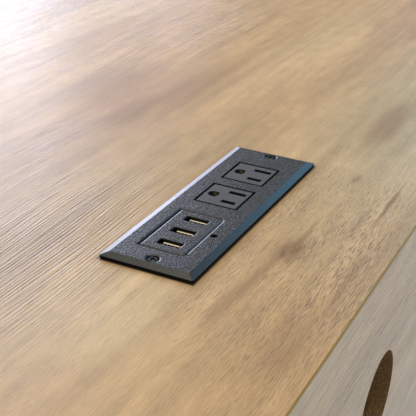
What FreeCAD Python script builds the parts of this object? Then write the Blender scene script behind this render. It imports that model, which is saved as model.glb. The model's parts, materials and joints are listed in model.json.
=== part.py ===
import FreeCAD, Part
import os
import re
import Sketcher
from FreeCAD import Rotation, Vector

# An office desk: a banded board top on two end panels and a rear panel, a pedestal of three drawers
# on roller rails, and a power module let into the top near its rear edge.
# The desk's frame: +X to the right of the person sitting, +Y to the rear, +Z up, in millimetres.
# The origin is on the floor under the middle of the top.

doc = FreeCAD.newDocument("OfficeDesk")

# Driving dimensions

SIZES = [
    ("desk_length", "1400", "top from end to end, over the bands"),
    ("desk_depth", "700", "top from front to rear, over the bands"),
    ("desk_height", "750", "floor to the upper face of the top"),
    ("top_thickness", "38", "board and bands of the top"),
    ("band_thickness", "0.8", "edge band"),
    ("band_radius", "0.6", "rounded arris of the edge band"),
    ("end_thickness", "25", "end panels"),
    ("end_inset", "15", "end panel's outer face, in from the top's end"),
    ("front_setback", "40", "front edges of the panels, back from the top's front"),
    ("board_thickness", "18", "pedestal boards and drawer fronts"),
    ("back_thickness", "18", "rear panel"),
    ("back_clearance", "60", "floor to the rear panel"),
    ("arris", "0.5", "eased edge of every board"),
    ("cable_hole", "60", "diameter of the cable hole in the rear panel"),
    ("cable_hole_drop", "93", "upper face of the top down to the cable hole's centre"),
    ("cable_hole_shift", "2.5", "cable hole's centre, right of the power module's centre"),
    ("foot_height", "8", "glide foot"),
    ("foot_diameter", "24", "glide foot"),
    ("foot_edge", "2", "slope round the glide foot's tread"),
    ("foot_inset", "60", "glide foot's centre, in from the end of its panel"),
    ("foot_pin", "3", "diameter of the glide foot's pin"),
    ("foot_pin_length", "14", "glide foot's pin above the foot"),
    ("bay_width", "380", "clear width between the pedestal's sides"),
    ("kick_height", "60", "floor to the pedestal's bottom panel"),
    ("kick_setback", "45", "kick board, back from the panels' front edges"),
    ("kick_thickness", "16", "kick board"),
    ("front_gap", "3", "gap round each drawer front"),
    ("box_rise", "16", "drawer front's lower edge up to the drawer side's"),
    ("box_drop", "30", "drawer front's upper edge down to the drawer side's"),
    ("side_thickness", "12", "drawer sides and drawer backs"),
    ("bottom_thickness", "4", "drawer bottoms"),
    ("groove_rise", "10", "drawer side's lower edge up to the bottom's groove"),
    ("groove_depth", "6", "groove for the drawer bottom"),
    ("groove_play", "0.2", "room for the drawer bottom in its groove"),
    ("handle_spacing", "160", "handle screws, centre to centre"),
    ("handle_section", "10", "square bar of the handle"),
    ("handle_reach", "30", "handle's outer face from the drawer front"),
    ("handle_round", "1.5", "rounded edges of the handle"),
    ("handle_screw", "4", "diameter of the handle screw"),
    ("handle_screw_bite", "9", "handle screw's length in the handle's leg"),
    ("handle_screw_head", "8", "diameter of the handle screw's head"),
    ("handle_screw_head_height", "2.4", "handle screw's head"),
    ("rail_space", "12.7", "drawer side to pedestal side, filled by the two rails"),
    ("rail_length", "500", "rails, and the drawer sides"),
    ("rail_gauge", "1.2", "sheet of the rails"),
    ("web_clearance", "0.9", "cabinet rail's flanges to the drawer rail's web"),
    ("rail_front_gap", "2", "drawer front's rear face to the rails' front ends"),
    ("rail_lip", "2", "drawer rail's running flange, clear of the pedestal side"),
    ("roller_diameter", "20", "rail roller"),
    ("roller_inset", "14", "roller's axle, in from its rail's end"),
    ("roller_lift", "2.6", "front roller's crown above the cabinet rail"),
    ("roller_play", "0.3", "rollers' room beside and above them"),
    ("running_play", "0.2", "drawer rail's flange above the front roller"),
    ("axle_diameter", "5", "rivet that a roller turns on"),
    ("axle_play", "0.05", "roller's bore beyond the rivet, on the radius"),
    ("axle_head", "8", "diameter of the rivet's head"),
    ("axle_head_height", "0.8", "rivet's head"),
    ("axle_head_clearance", "1", "rivet's head back from the edges of the flanges"),
    ("cam_diameter", "15", "cam lock"),
    ("cam_depth", "12.5", "cam lock"),
    ("cam_reach", "34", "joint between two boards to the cam's axis"),
    ("cam_face", "9", "bolt's axis in from the face that the cam opens on"),
    ("cam_play", "0.1", "fittings' room in their holes, on the radius"),
    ("cam_slot", "1.6", "width of the arms of a cam lock's driver cross"),
    ("cam_slot_length", "8", "length of a cam lock's driver cross"),
    ("cam_slot_depth", "2", "depth of a cam lock's driver cross"),
    ("cam_inset", "80", "cam locks, in from the ends of their board"),
    ("bolt_thread", "5", "diameter of the cam bolt's thread"),
    ("bolt_bite", "11", "cam bolt's thread in its board"),
    ("bolt_shank", "6", "diameter of the cam bolt's shank"),
    ("bolt_neck", "4", "diameter of the cam bolt's neck"),
    ("bolt_neck_length", "4", "cam bolt's neck below its head"),
    ("bolt_head", "6.8", "diameter of the cam bolt's head"),
    ("bolt_head_length", "3", "cam bolt's head"),
    ("bolt_bore", "8", "diameter of the bolt's way through the board's edge"),
    ("side_margin", "13.5", "USB insert to the faceplate's long sides"),
    ("module_shift", "0", "faceplate's centre from the middle of the top, to the right"),
    ("module_edge", "102.5", "faceplate's centre from the top's rear edge"),
    ("plate_rise", "3.4", "faceplate's upper face above the top"),
    ("plate_lip", "1.9", "upright rim of the faceplate"),
    ("plate_bevel", "4", "sloping border of the faceplate, seen from above"),
    ("plate_corner", "1.6", "rounded corners of the faceplate"),
    ("plate_foot", "0.6", "sloping foot of the faceplate's rim"),
    ("plate_round", "0.35", "rounded edges of the faceplate"),
    ("usb_groove", "0.35", "groove round the USB insert"),
    ("usb_front_groove", "1.1", "groove in front of the USB insert"),
    ("outlet_groove", "1.5", "groove round an outlet face"),
    ("insert_round", "0.25", "rounded rims of the outlet faces"),
    ("rim_width", "0.9", "sloping rims of the USB insert, its opening and the screws' recesses"),
    ("rim_drop", "0.36", "fall of those rims"),
    ("mouth_rim", "0.45", "sloping rims of the USB mouths"),
    ("mouth_rim_drop", "0.18", "fall of the mouths' rims"),
    ("insert_shoulder", "0.8", "inserts' shoulder under the faceplate, out and down"),
    ("far_margin", "26.25", "far outlet face to the faceplate's end"),
    ("outlet_length", "24.3", "outlet face along the module"),
    ("outlet_width", "23.5", "outlet face across the module"),
    ("outlet_depth", "15", "outlet face's upper side to its underside"),
    ("outlet_spacing", "11.7", "outlet face to outlet face"),
    ("outlet_gap", "14.75", "USB insert to the near outlet face"),
    ("blade_spacing", "12.7", "two blade slots of an outlet, centre to centre"),
    ("blade_offset", "4.95", "blade slots' centres, to the rear of the outlet's centre"),
    ("blade_slot", "3.4", "width of a blade slot"),
    ("hot_slot", "8.6", "length of the hot blade's slot"),
    ("neutral_slot", "10.4", "length of the neutral blade's slot"),
    ("ground_offset", "6.95", "ground hole's centre, in front of the outlet's centre"),
    ("ground_hole", "6.4", "width of the ground hole"),
    ("ground_flat", "0.6", "ground hole's flat side, past its centre"),
    ("usb_margin", "18", "USB insert to the faceplate's end"),
    ("usb_length", "46.7", "USB insert along the module"),
    ("usb_width", "25", "USB insert across the module"),
    ("usb_shift", "0.4", "USB insert's centre, in front of the sockets' line"),
    ("usb_skin", "1.2", "USB insert's face"),
    ("usb_wall", "1.5", "USB insert's walls"),
    ("usb_corner", "3", "rounded rear corners of the USB insert"),
    ("usb_front_corner", "1", "rounded front corners of the USB insert"),
    ("usb_pitch", "14.9", "USB socket to USB socket"),
    ("usb_mouth_length", "13.2", "USB socket's mouth across the module"),
    ("usb_mouth_width", "5.7", "USB socket's mouth along the module"),
    ("usb_mouth_round", "0.7", "corners of a USB socket's mouth"),
    ("usb_shell", "0.35", "sheet of a USB shell"),
    ("usb_depth", "14", "USB insert's face down to the circuit board, below its skin"),
    ("tongue_length", "9.3", "USB tongue across the module"),
    ("tongue_thickness", "1.1", "USB tongue along the module"),
    ("tongue_gap", "0.5", "USB tongue to the far wall of its mouth"),
    ("tongue_recess", "1.75", "USB tongue's end below the insert's face"),
    ("tongue_base", "4", "block that fills the foot of a USB shell"),
    ("tongue_play", "0.1", "base block's room in its shell"),
    ("contact_pitch", "2.2", "USB contact to USB contact"),
    ("contact_width", "1.6", "USB contact across the module"),
    ("contact_sheet", "0.2", "sheet of a USB contact"),
    ("contact_setback", "0.05", "USB contact's end below the tongue's"),
    ("board_margin", "1", "circuit board, in from the USB insert's edges"),
    ("board_sheet", "1.6", "circuit board"),
    ("lamp_hole", "3.8", "diameter of the indicator hole"),
    ("lamp_shift", "3.3", "indicator, left of the USB insert's centre"),
    ("lamp_offset", "3.6", "indicator, to the rear of the USB insert's edge"),
    ("lamp_recess", "1.4", "indicator lens below the faceplate's face"),
    ("lamp_flange", "4.4", "diameter of the indicator lens's flange"),
    ("lamp_flange_height", "1", "indicator lens's flange"),
    ("lamp_play", "0.1", "indicator lens's room in its hole, on the radius"),
    ("screw_margin", "8", "faceplate screws, in from the faceplate's ends"),
    ("screw_recess", "7", "diameter of a faceplate screw's recess"),
    ("screw_recess_depth", "1.6", "faceplate screw's recess"),
    ("screw_head", "5.8", "diameter of a faceplate screw's head"),
    ("screw_head_height", "1.3", "faceplate screw's head"),
    ("screw_shank", "3.4", "diameter of a faceplate screw's shank"),
    ("screw_bite", "14", "faceplate screw's length in the top"),
    ("screw_play", "0.1", "faceplate screw's room in its hole, on the radius"),
    ("screw_cross", "1.1", "width of the arms of a screw's driver cross"),
    ("screw_cross_length", "4.2", "length of a screw's driver cross"),
    ("screw_cross_depth", "1.1", "depth of a screw's driver cross"),
    ("housing_margin", "14", "housing, in from the faceplate's ends"),
    ("housing_side", "5.5", "housing, in from the faceplate's sides"),
    ("housing_depth", "44", "module's housing, down from the upper face of the top"),
    ("housing_wall", "2", "module's housing"),
    ("cutout_play", "0.5", "housing's room in the top's cut-out, each side"),
    ("post_diameter", "6", "posts in the housing under the circuit board"),
    ("carrier_overhang", "7.5", "bus bar carrier past the outlet faces"),
    ("carrier_play", "1.5", "bus bar carrier to the housing's walls"),
    ("clip_clearance", "0.5", "outlet face's underside down to the clips"),
    ("clip_height", "14", "clips on the bus bars"),
    ("clip_sheet", "0.6", "leaf of a clip"),
    ("clip_mouth", "1.8", "room for a blade between two leaves"),
    ("clip_width", "6.2", "leaf of a clip, across the module"),
    ("bus_sheet", "0.8", "bus bars"),
    ("bus_width", "3", "bus bars"),
    ("bus_overhang", "12", "bus bars past the outlets' centres"),
    ("bus_spread", "4.6", "hot and neutral bus bars, each side of the blades' line"),
    ("ground_clip_bore", "5", "ground clip"),
    ("leaf_sheet", "1", "leaf that stands in a ground hole"),
    ("leaf_width", "2.4", "leaf, across the module"),
    ("leaf_gap", "0.4", "leaf to the far side of its ground hole"),
    ("leaf_recess", "0.6", "leaf's end below the outlet's face"),
    ("leaf_slope", "0.8", "slope that leads the plug's pin past the leaf"),
    ("gland_bore", "7.6", "diameter of the cord gland's bore"),
    ("gland_body", "12", "diameter of the cord gland's body"),
    ("gland_flange", "17", "diameter of the cord gland's flange"),
    ("gland_flange_height", "3", "cord gland's flange, under the housing"),
    ("gland_length", "12", "cord gland's body inside the housing"),
    ("gland_play", "0.1", "cord gland's room in its hole, on the radius"),
]

# Places and sizes that follow from the driving ones

LAYOUT = [
    ("rear_plane", "desk_depth / 2", "rear edge of the top and outer face of the rear panel"),
    ("back_inner", "rear_plane - back_thickness", "rear panel's inner face"),
    ("top_underside", "desk_height - top_thickness", "lower face of the top"),
    ("end_outer", "desk_length / 2 - end_inset", "end panel's outer face"),
    ("end_inner", "end_outer - end_thickness", "end panel's inner face"),
    ("panel_front", "front_setback - desk_depth / 2", "front edges of the panels"),
    ("bay_left", "end_inner - bay_width", "pedestal's inner side, towards the drawers"),
    ("bay_middle", "end_inner - bay_width / 2", "middle of the drawers"),
    ("bay_floor", "kick_height + board_thickness", "pedestal's bottom panel, upper face"),
    ("front_unit", "(top_underside - bay_floor - 4 * front_gap) / 4", "height of a small drawer front"),
    ("box_front", "panel_front + board_thickness", "drawer front's rear face"),
    ("box_rear", "box_front + rail_length", "rear ends of the drawer sides"),
    ("box_half", "bay_width / 2 - rail_space", "half of a drawer box's width"),
    ("channel", "roller_diameter + 2 * roller_play", "clear height inside the cabinet rail"),
    ("rail_height", "channel + 2 * rail_gauge", "cabinet rail"),
    ("front_roller_height", "rail_height + roller_lift - roller_diameter / 2", "front roller's axle"),
    ("rear_roller_height", "rail_gauge + roller_play + roller_diameter / 2", "rear roller's axle"),
    ("flange_height", "rail_height + roller_lift + running_play", "drawer rail's running flange"),
    ("side_foot", "2 * rail_gauge", "cabinet rail's foot up to the drawer side"),
    ("rail_flange", "rail_space - rail_gauge - web_clearance", "cabinet rail's flanges from its foot"),
    ("axle_length", "rail_flange - rail_gauge - axle_head_clearance", "rivet from its rail to its tip"),
    ("roller_width", "axle_length - axle_head_height - 2 * roller_play", "rail roller"),
    ("module_y", "rear_plane - module_edge", "power module's centre"),
    ("outlet_pitch", "outlet_length + outlet_spacing", "outlet to outlet"),
    ("module_length", "usb_margin + usb_length + outlet_gap + outlet_length + outlet_pitch + far_margin",
     "faceplate"),
    ("module_width", "usb_width + 2 * side_margin", "faceplate"),
    ("usb_centre", "module_length / 2 - usb_margin - usb_length / 2", "USB insert's centre"),
    ("near_outlet", "usb_centre - (usb_length + outlet_length) / 2 - outlet_gap", "near outlet's centre"),
    ("far_outlet", "near_outlet - outlet_pitch", "far outlet's centre"),
    ("screw_along", "module_length / 2 - screw_margin", "faceplate screws from the module's centre"),
    ("lamp_along", "usb_centre - lamp_shift", "indicator, along the module"),
    ("usb_opening_length", "usb_length + 2 * usb_groove", "USB insert's opening along the module"),
    ("usb_opening_width", "usb_width + usb_groove + usb_front_groove", "USB insert's opening across it"),
    ("usb_opening_y", "(usb_groove - usb_front_groove) / 2 - usb_shift", "middle of that opening"),
    ("lamp_across", "usb_width / 2 - usb_shift + lamp_offset", "indicator, across the module"),
    ("board_length", "usb_length - 2 * board_margin", "circuit board along the module"),
    ("board_width", "usb_width - 2 * board_margin", "circuit board across the module"),
    ("housing_length", "module_length - 2 * housing_margin", "module's housing"),
    ("housing_width", "module_width - 2 * housing_side", "module's housing"),
    ("carrier_length", "outlet_length + outlet_pitch + 2 * carrier_overhang", "bus bar carrier"),
    ("carrier_width", "housing_width - 2 * housing_wall - 2 * carrier_play", "bus bar carrier"),
    ("board_top", "plate_rise - usb_skin - usb_depth", "circuit board's upper face"),
    ("housing_floor", "housing_wall - housing_depth", "housing's floor, inside"),
    ("clip_top", "plate_rise - outlet_depth - clip_clearance", "clips' upper ends"),
    ("bus_top", "clip_top - clip_height", "bus bars' upper faces"),
    ("carrier_top", "bus_top - bus_sheet", "carrier's upper face"),
]

SHEET_OF = {}


def formula(text, home=None):
    """Writes the size names in a formula as references to the sheets that hold them."""
    def reference(match):
        word = match.group()
        sheet = SHEET_OF.get(word, home)
        return word if sheet == home else f"{sheet}.{word}"
    return re.sub(r"[a-z][a-z_0-9]*", reference, text)


def add_sheet(name, rows, lead=""):
    """A sheet with one size in each row: its name, its value and what it measures."""
    sheet = doc.addObject("Spreadsheet::Sheet", name)
    for row, (alias, content, meaning) in enumerate(rows, start=1):
        sheet.set(f"A{row}", alias)
        sheet.set(f"B{row}", lead + formula(content, name))
        sheet.setAlias(f"B{row}", alias)
        sheet.set(f"C{row}", meaning)
        SHEET_OF[alias] = name


add_sheet("Sizes", SIZES)
add_sheet("Layout", LAYOUT, "=")
doc.recompute()

# Construction helpers: every size and place is a formula in the names above

ALONG_X = Vector(1, 0, 0)
ALONG_Y = Vector(0, 1, 0)
ALONG_Z = Vector(0, 0, 1)
ORIGIN = ("0", "0", "0")

NEAR = 0.01

nodes = []


def size(name):
    """The present value of a named size."""
    return float(doc.getObject(SHEET_OF[name]).get(name))


def bind(item, formulas):
    """Binds properties of an object to formulas."""
    for path, text in formulas.items():
        item.setExpression(path, formula(text))


def place(item, at):
    """Binds an object's place to three formulas."""
    for axis, text in zip("xyz", at):
        item.setExpression(f"Placement.Base.{axis}", formula(text))


def add_body(label, at=ORIGIN):
    """A body of the desk, at a bound place."""
    body = doc.addObject("PartDesign::Body", label)
    place(body, at)
    return body


def add_node(label, at=ORIGIN):
    """A body that is a sub-part of its own."""
    body = add_body(label, at)
    nodes.append(body)
    return body


def add_group(label, members):
    """A sub-part of several separate solids."""
    group = doc.addObject("Part::Compound", label)
    group.Links = members
    nodes.append(group)
    return group


def mirrored(item, plane_x):
    """The mirror image of an object in an upright plane that faces along the desk."""
    image = doc.addObject("Part::Mirroring", item.Label + "_mirrored")
    image.Source = item
    image.Normal = ALONG_X
    bind(image, {"Base.x": plane_x})
    return image


def copy_at(item, at, turn=None):
    """A copy of an object at another bound place."""
    twin = doc.addObject("App::Link", item.Label + "_copy")
    twin.LinkedObject = item
    if turn is not None:
        twin.Placement = FreeCAD.Placement(Vector(), turn)
    place(twin, at)
    return twin


def block(body, x, y, z, cut=False):
    """Adds or cuts a rectangular block that spans (low, high) along each axis."""
    kind = "PartDesign::SubtractiveBox" if cut else "PartDesign::AdditiveBox"
    item = body.newObject(kind, "Cut" if cut else "Block")
    bind(item, {
        "Length": f"({x[1]}) - ({x[0]})",
        "Width": f"({y[1]}) - ({y[0]})",
        "Height": f"({z[1]}) - ({z[0]})",
    })
    place(item, (x[0], y[0], z[0]))
    return item


def rod(body, diameter, length, at, towards, cut=False):
    """Adds or cuts a round rod that starts at a point and runs towards a direction."""
    kind = "PartDesign::SubtractiveCylinder" if cut else "PartDesign::AdditiveCylinder"
    item = body.newObject(kind, "Hole" if cut else "Rod")
    item.Placement = FreeCAD.Placement(Vector(), Rotation(ALONG_Z, towards))
    bind(item, {"Radius": f"({diameter}) / 2", "Height": length})
    place(item, at)
    return item


def sketch(body, plane, lift="0"):
    """An empty sketch on one of the body's own planes, lifted off it by a formula."""
    item = body.newObject("Sketcher::SketchObject", "Sketch")
    support = next(face for face in body.Origin.OriginFeatures if face.Role == plane)
    item.AttachmentSupport = [(support, "")]
    item.MapMode = "FlatFace"
    bind(item, {"AttachmentOffset.Base.z": lift})
    return item


def outline(profile, points):
    """Draws a closed outline through points whose coordinates are formulas."""
    count = len(points)
    first = profile.GeometryCount
    rough = [Vector(index, index * index, 0) for index in range(count)]
    profile.addGeometry([
        Part.LineSegment(rough[index], rough[(index + 1) % count]) for index in range(count)
    ])
    profile.addConstraint([
        Sketcher.Constraint("Coincident", first + index, 2, first + (index + 1) % count, 1)
        for index in range(count)
    ])
    for index, point in enumerate(points):
        for kind, text, start in zip(("DistanceX", "DistanceY"), point, rough[index]):
            dimension = Sketcher.Constraint(kind, -1, 1, first + index, 1, start)
            number = profile.addConstraint(dimension)
            bind(profile, {f"Constraints[{number}]": text})


def rectangle(profile, length, width, x="0", y="0"):
    """Draws a rectangle of bound size about a bound centre."""
    low_x, high_x = f"({x}) - ({length}) / 2", f"({x}) + ({length}) / 2"
    low_y, high_y = f"({y}) - ({width}) / 2", f"({y}) + ({width}) / 2"
    outline(profile, [(low_x, low_y), (high_x, low_y), (high_x, high_y), (low_x, high_y)])


def pad(body, profile, length, backwards=False):
    """Extrudes a sketch by a bound length."""
    item = body.newObject("PartDesign::Pad", "Pad")
    item.Profile = profile
    item.Reversed = backwards
    bind(item, {"Length": length})
    return item


def turned(body, points):
    """Turns an outline of (radius, height) points about the body's upright axis."""
    profile = sketch(body, "XZ_Plane")
    outline(profile, points)
    item = body.newObject("PartDesign::Revolution", "Turned")
    item.Profile = profile
    item.ReferenceAxis = (profile, ["V_Axis"])
    item.Angle = 360
    return item


def pick_edges(feature, wanted):
    """Names of a feature's edges whose ends and middle satisfy a test."""
    doc.recompute()
    names = []
    for number, edge in enumerate(feature.Shape.Edges, start=1):
        middle = edge.valueAt((edge.FirstParameter + edge.LastParameter) / 2)
        if wanted(edge, middle):
            names.append(f"Edge{number}")
    return names


def eased(body, feature, width, edges):
    """Chamfers edges of a feature."""
    doc.recompute()
    item = body.newObject("PartDesign::Chamfer", "Eased")
    item.Base = (feature, edges)
    bind(item, {"Size": width})
    return item


def rounded(body, feature, radius, edges):
    """Rounds edges of a feature."""
    doc.recompute()
    item = body.newObject("PartDesign::Fillet", "Rounded")
    item.Base = (feature, edges)
    bind(item, {"Radius": radius})
    return item


def rimmed(body, feature, width, drop, edges):
    """Slopes the rim of an upper face: a border of some width falls by a drop."""
    doc.recompute()
    item = body.newObject("PartDesign::Chamfer", "Rim")
    item.Base = (feature, edges)
    item.ChamferType = "Two distances"
    item.FlipDirection = True
    bind(item, {"Size": width, "Size2": drop})
    return item


def is_upright(edge):
    """Whether an edge is straight and upright."""
    start, end = edge.Vertexes[0].Point, edge.Vertexes[-1].Point
    return (end - start).Length > 0 and abs((end - start).normalize().z) > 0.999


def board(label, x, y, z):
    """A board that spans (low, high) along each axis, with its edges eased but where it meets the top."""
    body = add_node(label)
    blank = block(body, x, y, z)
    under_top = size("top_underside") - NEAR
    over_top = size("top_underside") + NEAR
    edges = pick_edges(blank, lambda edge, middle: not under_top < middle.z < over_top)
    eased(body, blank, "arris", edges)
    return body


def driver_cross(body, length, width, depth, face):
    """Cuts a screwdriver's cross, centred on the body's upright axis, into a face at a height."""
    across = (f"-({length}) / 2", f"({length}) / 2")
    narrow = (f"-({width}) / 2", f"({width}) / 2")
    deep = (f"({face}) - ({depth})", face)
    block(body, across, narrow, deep, cut=True)
    block(body, narrow, across, deep, cut=True)


# The top and its edge bands

def build_top():
    """The top's board, with its cut-out for the power module and the module's screw holes."""
    half_length = "desk_length / 2 - band_thickness"
    half_depth = "desk_depth / 2 - band_thickness"
    top = add_node("top_panel")
    block(top, (f"-({half_length})", half_length), (f"-({half_depth})", half_depth),
          ("top_underside", "desk_height"))
    half_cut = "housing_length / 2 + cutout_play"
    half_wide = "housing_width / 2 + cutout_play"
    block(top, (f"module_shift - ({half_cut})", f"module_shift + {half_cut}"),
          (f"module_y - ({half_wide})", f"module_y + {half_wide}"),
          ("top_underside", "desk_height"), cut=True)
    for side in ("-", "+"):
        rod(top, "screw_shank + 2 * screw_play", "screw_bite",
            (f"module_shift {side} screw_along", "module_y", "desk_height"), -ALONG_Z, cut=True)
    return top


def build_band(label, x, y, towards):
    """A strip of edge band with its upper outer edge rounded."""
    band = add_body(label)
    strip = block(band, x, y, ("top_underside", "desk_height"))
    doc.recompute()
    outer = max(vertex.Point.dot(towards) for vertex in strip.Shape.Vertexes) - NEAR
    upper = size("desk_height") - NEAR
    edges = pick_edges(strip, lambda edge, middle: middle.dot(towards) > outer and middle.z > upper)
    rounded(band, strip, "band_radius", edges)
    return band


def build_bands():
    """The bands: front and rear run the whole length, the ends fit between them."""
    whole = ("-desk_length / 2", "desk_length / 2")
    between = ("band_thickness - rear_plane", "rear_plane - band_thickness")
    nodes.append(build_band("rear_edge_band", whole, (between[1], "rear_plane"), ALONG_Y))
    nodes.append(build_band("front_edge_band", whole, ("-rear_plane", between[0]), -ALONG_Y))
    inner = "desk_length / 2 - band_thickness"
    right = build_band("right_edge_band", (inner, "desk_length / 2"), between, ALONG_X)
    left = build_band("left_edge_band", ("-desk_length / 2", f"-({inner})"), between, -ALONG_X)
    add_group("end_edge_bands", [left, right])


# The panels that stand under the top

def build_panels():
    """End panels, rear panel and the pedestal's boards, by name."""
    panels = {}
    depth = ("panel_front", "rear_plane")
    height = ("foot_height", "top_underside")
    panels["left"] = board("left_end_panel", ("-end_outer", "-end_inner"), depth, height)
    panels["right"] = board("right_end_panel", ("end_inner", "end_outer"), depth, height)
    panels["back"] = board("rear_panel", ("-end_inner", "end_inner"), ("back_inner", "rear_plane"),
                           ("back_clearance", "top_underside"))
    rod(panels["back"], "cable_hole", "back_thickness",
        ("module_shift + cable_hole_shift", "back_inner", "desk_height - cable_hole_drop"),
        ALONG_Y, cut=True)
    panels["inner"] = board("pedestal_inner_panel", ("bay_left - board_thickness", "bay_left"),
                            ("panel_front", "back_inner"), height)
    panels["bottom"] = board("pedestal_bottom_panel", ("bay_left", "end_inner"),
                             ("panel_front", "back_inner"), ("kick_height", "bay_floor"))
    board("kick_board", ("bay_left", "end_inner"),
          ("panel_front + kick_setback", "panel_front + kick_setback + kick_thickness"),
          ("foot_height", "kick_height"))
    return panels


def build_feet(panels):
    """A glide foot near each lower corner of the panels that stand on the floor."""
    tread = "foot_diameter / 2 - foot_edge"
    master = add_body("glide_foot")
    turned(master, [
        ("0", "0"), (tread, "0"), ("foot_diameter / 2", "foot_edge"),
        ("foot_diameter / 2", "foot_height"), ("foot_pin / 2", "foot_height"),
        ("foot_pin / 2", "foot_height + foot_pin_length"), ("0", "foot_height + foot_pin_length"),
    ])
    middles = {
        "left": "-(end_inner + end_thickness / 2)",
        "right": "end_inner + end_thickness / 2",
        "inner": "bay_left - board_thickness / 2",
    }
    feet = []
    for name, middle in middles.items():
        for along in ("panel_front + foot_inset", "back_inner - foot_inset"):
            feet.append(copy_at(master, (middle, along, "0")))
            rod(panels[name], "foot_pin + 2 * cam_play", "foot_pin_length + cam_play",
                (middle, along, "foot_height"), ALONG_Z, cut=True)
    add_group("glide_feet", feet)


# The cam locks and bolts that hold the boards together

def build_cam():
    """A cam lock: its axis is upright, it opens upwards and takes a bolt from +X."""
    cam = add_body("cam_lock")
    rod(cam, "cam_diameter", "cam_depth", ("0", "0", "cam_face - cam_depth"), ALONG_Z)
    rod(cam, "bolt_head + 4 * cam_play", "cam_diameter / 2 + bolt_head_length",
        ("-bolt_head_length", "0", "0"), ALONG_X, cut=True)
    driver_cross(cam, "cam_slot_length", "cam_slot", "cam_slot_depth", "cam_face")
    return cam


def build_bolt():
    """A cam bolt: its thread is below the joint's plane and its head reaches the cam's axis."""
    bolt = add_body("cam_bolt")
    neck_foot = "cam_reach - bolt_head_length / 2 - bolt_neck_length"
    head_foot = "cam_reach - bolt_head_length / 2"
    head_top = "cam_reach + bolt_head_length / 2"
    turned(bolt, [
        ("0", "-bolt_bite"), ("bolt_thread / 2", "-bolt_bite"), ("bolt_thread / 2", "0"),
        ("bolt_shank / 2", "0"), ("bolt_shank / 2", neck_foot), ("bolt_neck / 2", neck_foot),
        ("bolt_neck / 2", head_foot), ("bolt_head / 2", head_foot), ("bolt_head / 2", head_top),
        ("0", head_top),
    ])
    return bolt


def shifted(at, direction, distance):
    """A point moved by a distance along one of the desk's axes, as formulas."""
    return tuple(
        text if abs(part) < 0.5 else f"{text} {'+' if part > 0 else '-'} ({distance})"
        for text, part in zip(at, direction)
    )


def build_fittings(top, panels):
    """A cam lock and bolt at each joint: the board that holds the cam, the board that holds the
    bolt, the point where the bolt crosses the joint, the bolt's direction and the cam's face."""
    front, rear = "panel_front + cam_inset", "back_inner - cam_inset"
    left, right = "-(end_inner + cam_face)", "end_inner + cam_face"
    back_axis, inner_axis = "back_inner + cam_face", "bay_left - cam_face"
    floor_axis = "kick_height + cam_face"
    back_low, back_high = "back_clearance + cam_inset", "top_underside - 2 * cam_inset"
    joints = []
    for along in (front, rear):
        joints += [
            ("left", top, (left, along, "top_underside"), -ALONG_Z, ALONG_X),
            ("right", top, (right, along, "top_underside"), -ALONG_Z, -ALONG_X),
            ("inner", top, (inner_axis, along, "top_underside"), -ALONG_Z, ALONG_X),
            ("bottom", panels["inner"], ("bay_left", along, floor_axis), ALONG_X, -ALONG_Z),
            ("bottom", panels["right"], ("end_inner", along, floor_axis), -ALONG_X, -ALONG_Z),
        ]
    for side in ("-", ""):
        across = f"{side}(end_inner - 2 * cam_inset)"
        joints.append(("back", top, (across, back_axis, "top_underside"), -ALONG_Z, -ALONG_Y))
    for up in (back_low, back_high):
        joints += [
            ("back", panels["left"], ("-end_inner", back_axis, up), ALONG_X, -ALONG_Y),
            ("back", panels["right"], ("end_inner", back_axis, up), -ALONG_X, -ALONG_Y),
        ]
    cam, bolt = build_cam(), build_bolt()
    cams, bolts = [], []
    for holder, carrier, at, inward, face in joints:
        centre = shifted(at, inward, "cam_reach")
        mouth = shifted(centre, face, "cam_face")
        rod(panels[holder], "bolt_bore", "cam_reach", at, inward, cut=True)
        rod(panels[holder], "cam_diameter + 2 * cam_play", "cam_depth + cam_play", mouth, -face, cut=True)
        rod(carrier, "bolt_thread + 2 * cam_play", "bolt_bite + cam_play", at, -inward, cut=True)
        cams.append(copy_at(cam, centre, Rotation(-inward, face.cross(-inward), face, "ZXY")))
        bolts.append(copy_at(bolt, at, Rotation(ALONG_Z, inward)))
    add_group("cam_locks", cams)
    add_group("cam_bolts", bolts)


# The drawers

def build_handle(label, at):
    """A square pull: a bar on two legs, with a screw hole up each leg."""
    handle = add_node(label, at)
    reach = "(handle_spacing + handle_section) / 2"
    inside = "(handle_spacing - handle_section) / 2"
    bar = "-(handle_reach - handle_section)"
    profile = sketch(handle, "XY_Plane", "-handle_section / 2")
    outline(profile, [
        (f"-{reach}", "0"), (f"-{reach}", "-handle_reach"), (reach, "-handle_reach"), (reach, "0"),
        (inside, "0"), (inside, bar), (f"-{inside}", bar), (f"-{inside}", "0"),
    ])
    pull = pad(handle, profile, "handle_section")
    edges = pick_edges(pull, lambda edge, middle: middle.y < -NEAR)
    rounded(handle, pull, "handle_round", edges)
    for side in ("-", ""):
        rod(handle, "handle_screw + 2 * screw_play", "handle_screw_bite + screw_play",
            (f"{side}handle_spacing / 2", "0", "0"), -ALONG_Y, cut=True)


def build_handle_screws(label, middle_z):
    """The two screws through the drawer front into the handle's legs."""
    master = add_body(label + "_one")
    turned(master, [
        ("0", "-(board_thickness + handle_screw_bite)"),
        ("handle_screw / 2", "-(board_thickness + handle_screw_bite)"), ("handle_screw / 2", "0"),
        ("handle_screw_head / 2", "0"), ("handle_screw_head / 2", "handle_screw_head_height / 2"),
        ("handle_screw_head / 2 - handle_screw_head_height / 2", "handle_screw_head_height"),
        ("0", "handle_screw_head_height"),
    ])
    driver_cross(master, "screw_cross_length", "screw_cross", "screw_cross_depth",
                 "handle_screw_head_height")
    turn = Rotation(ALONG_Z, ALONG_Y)
    add_group(label, [
        copy_at(master, (f"bay_middle {side} handle_spacing / 2", "box_front", middle_z), turn)
        for side in ("-", "+")
    ])


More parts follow.
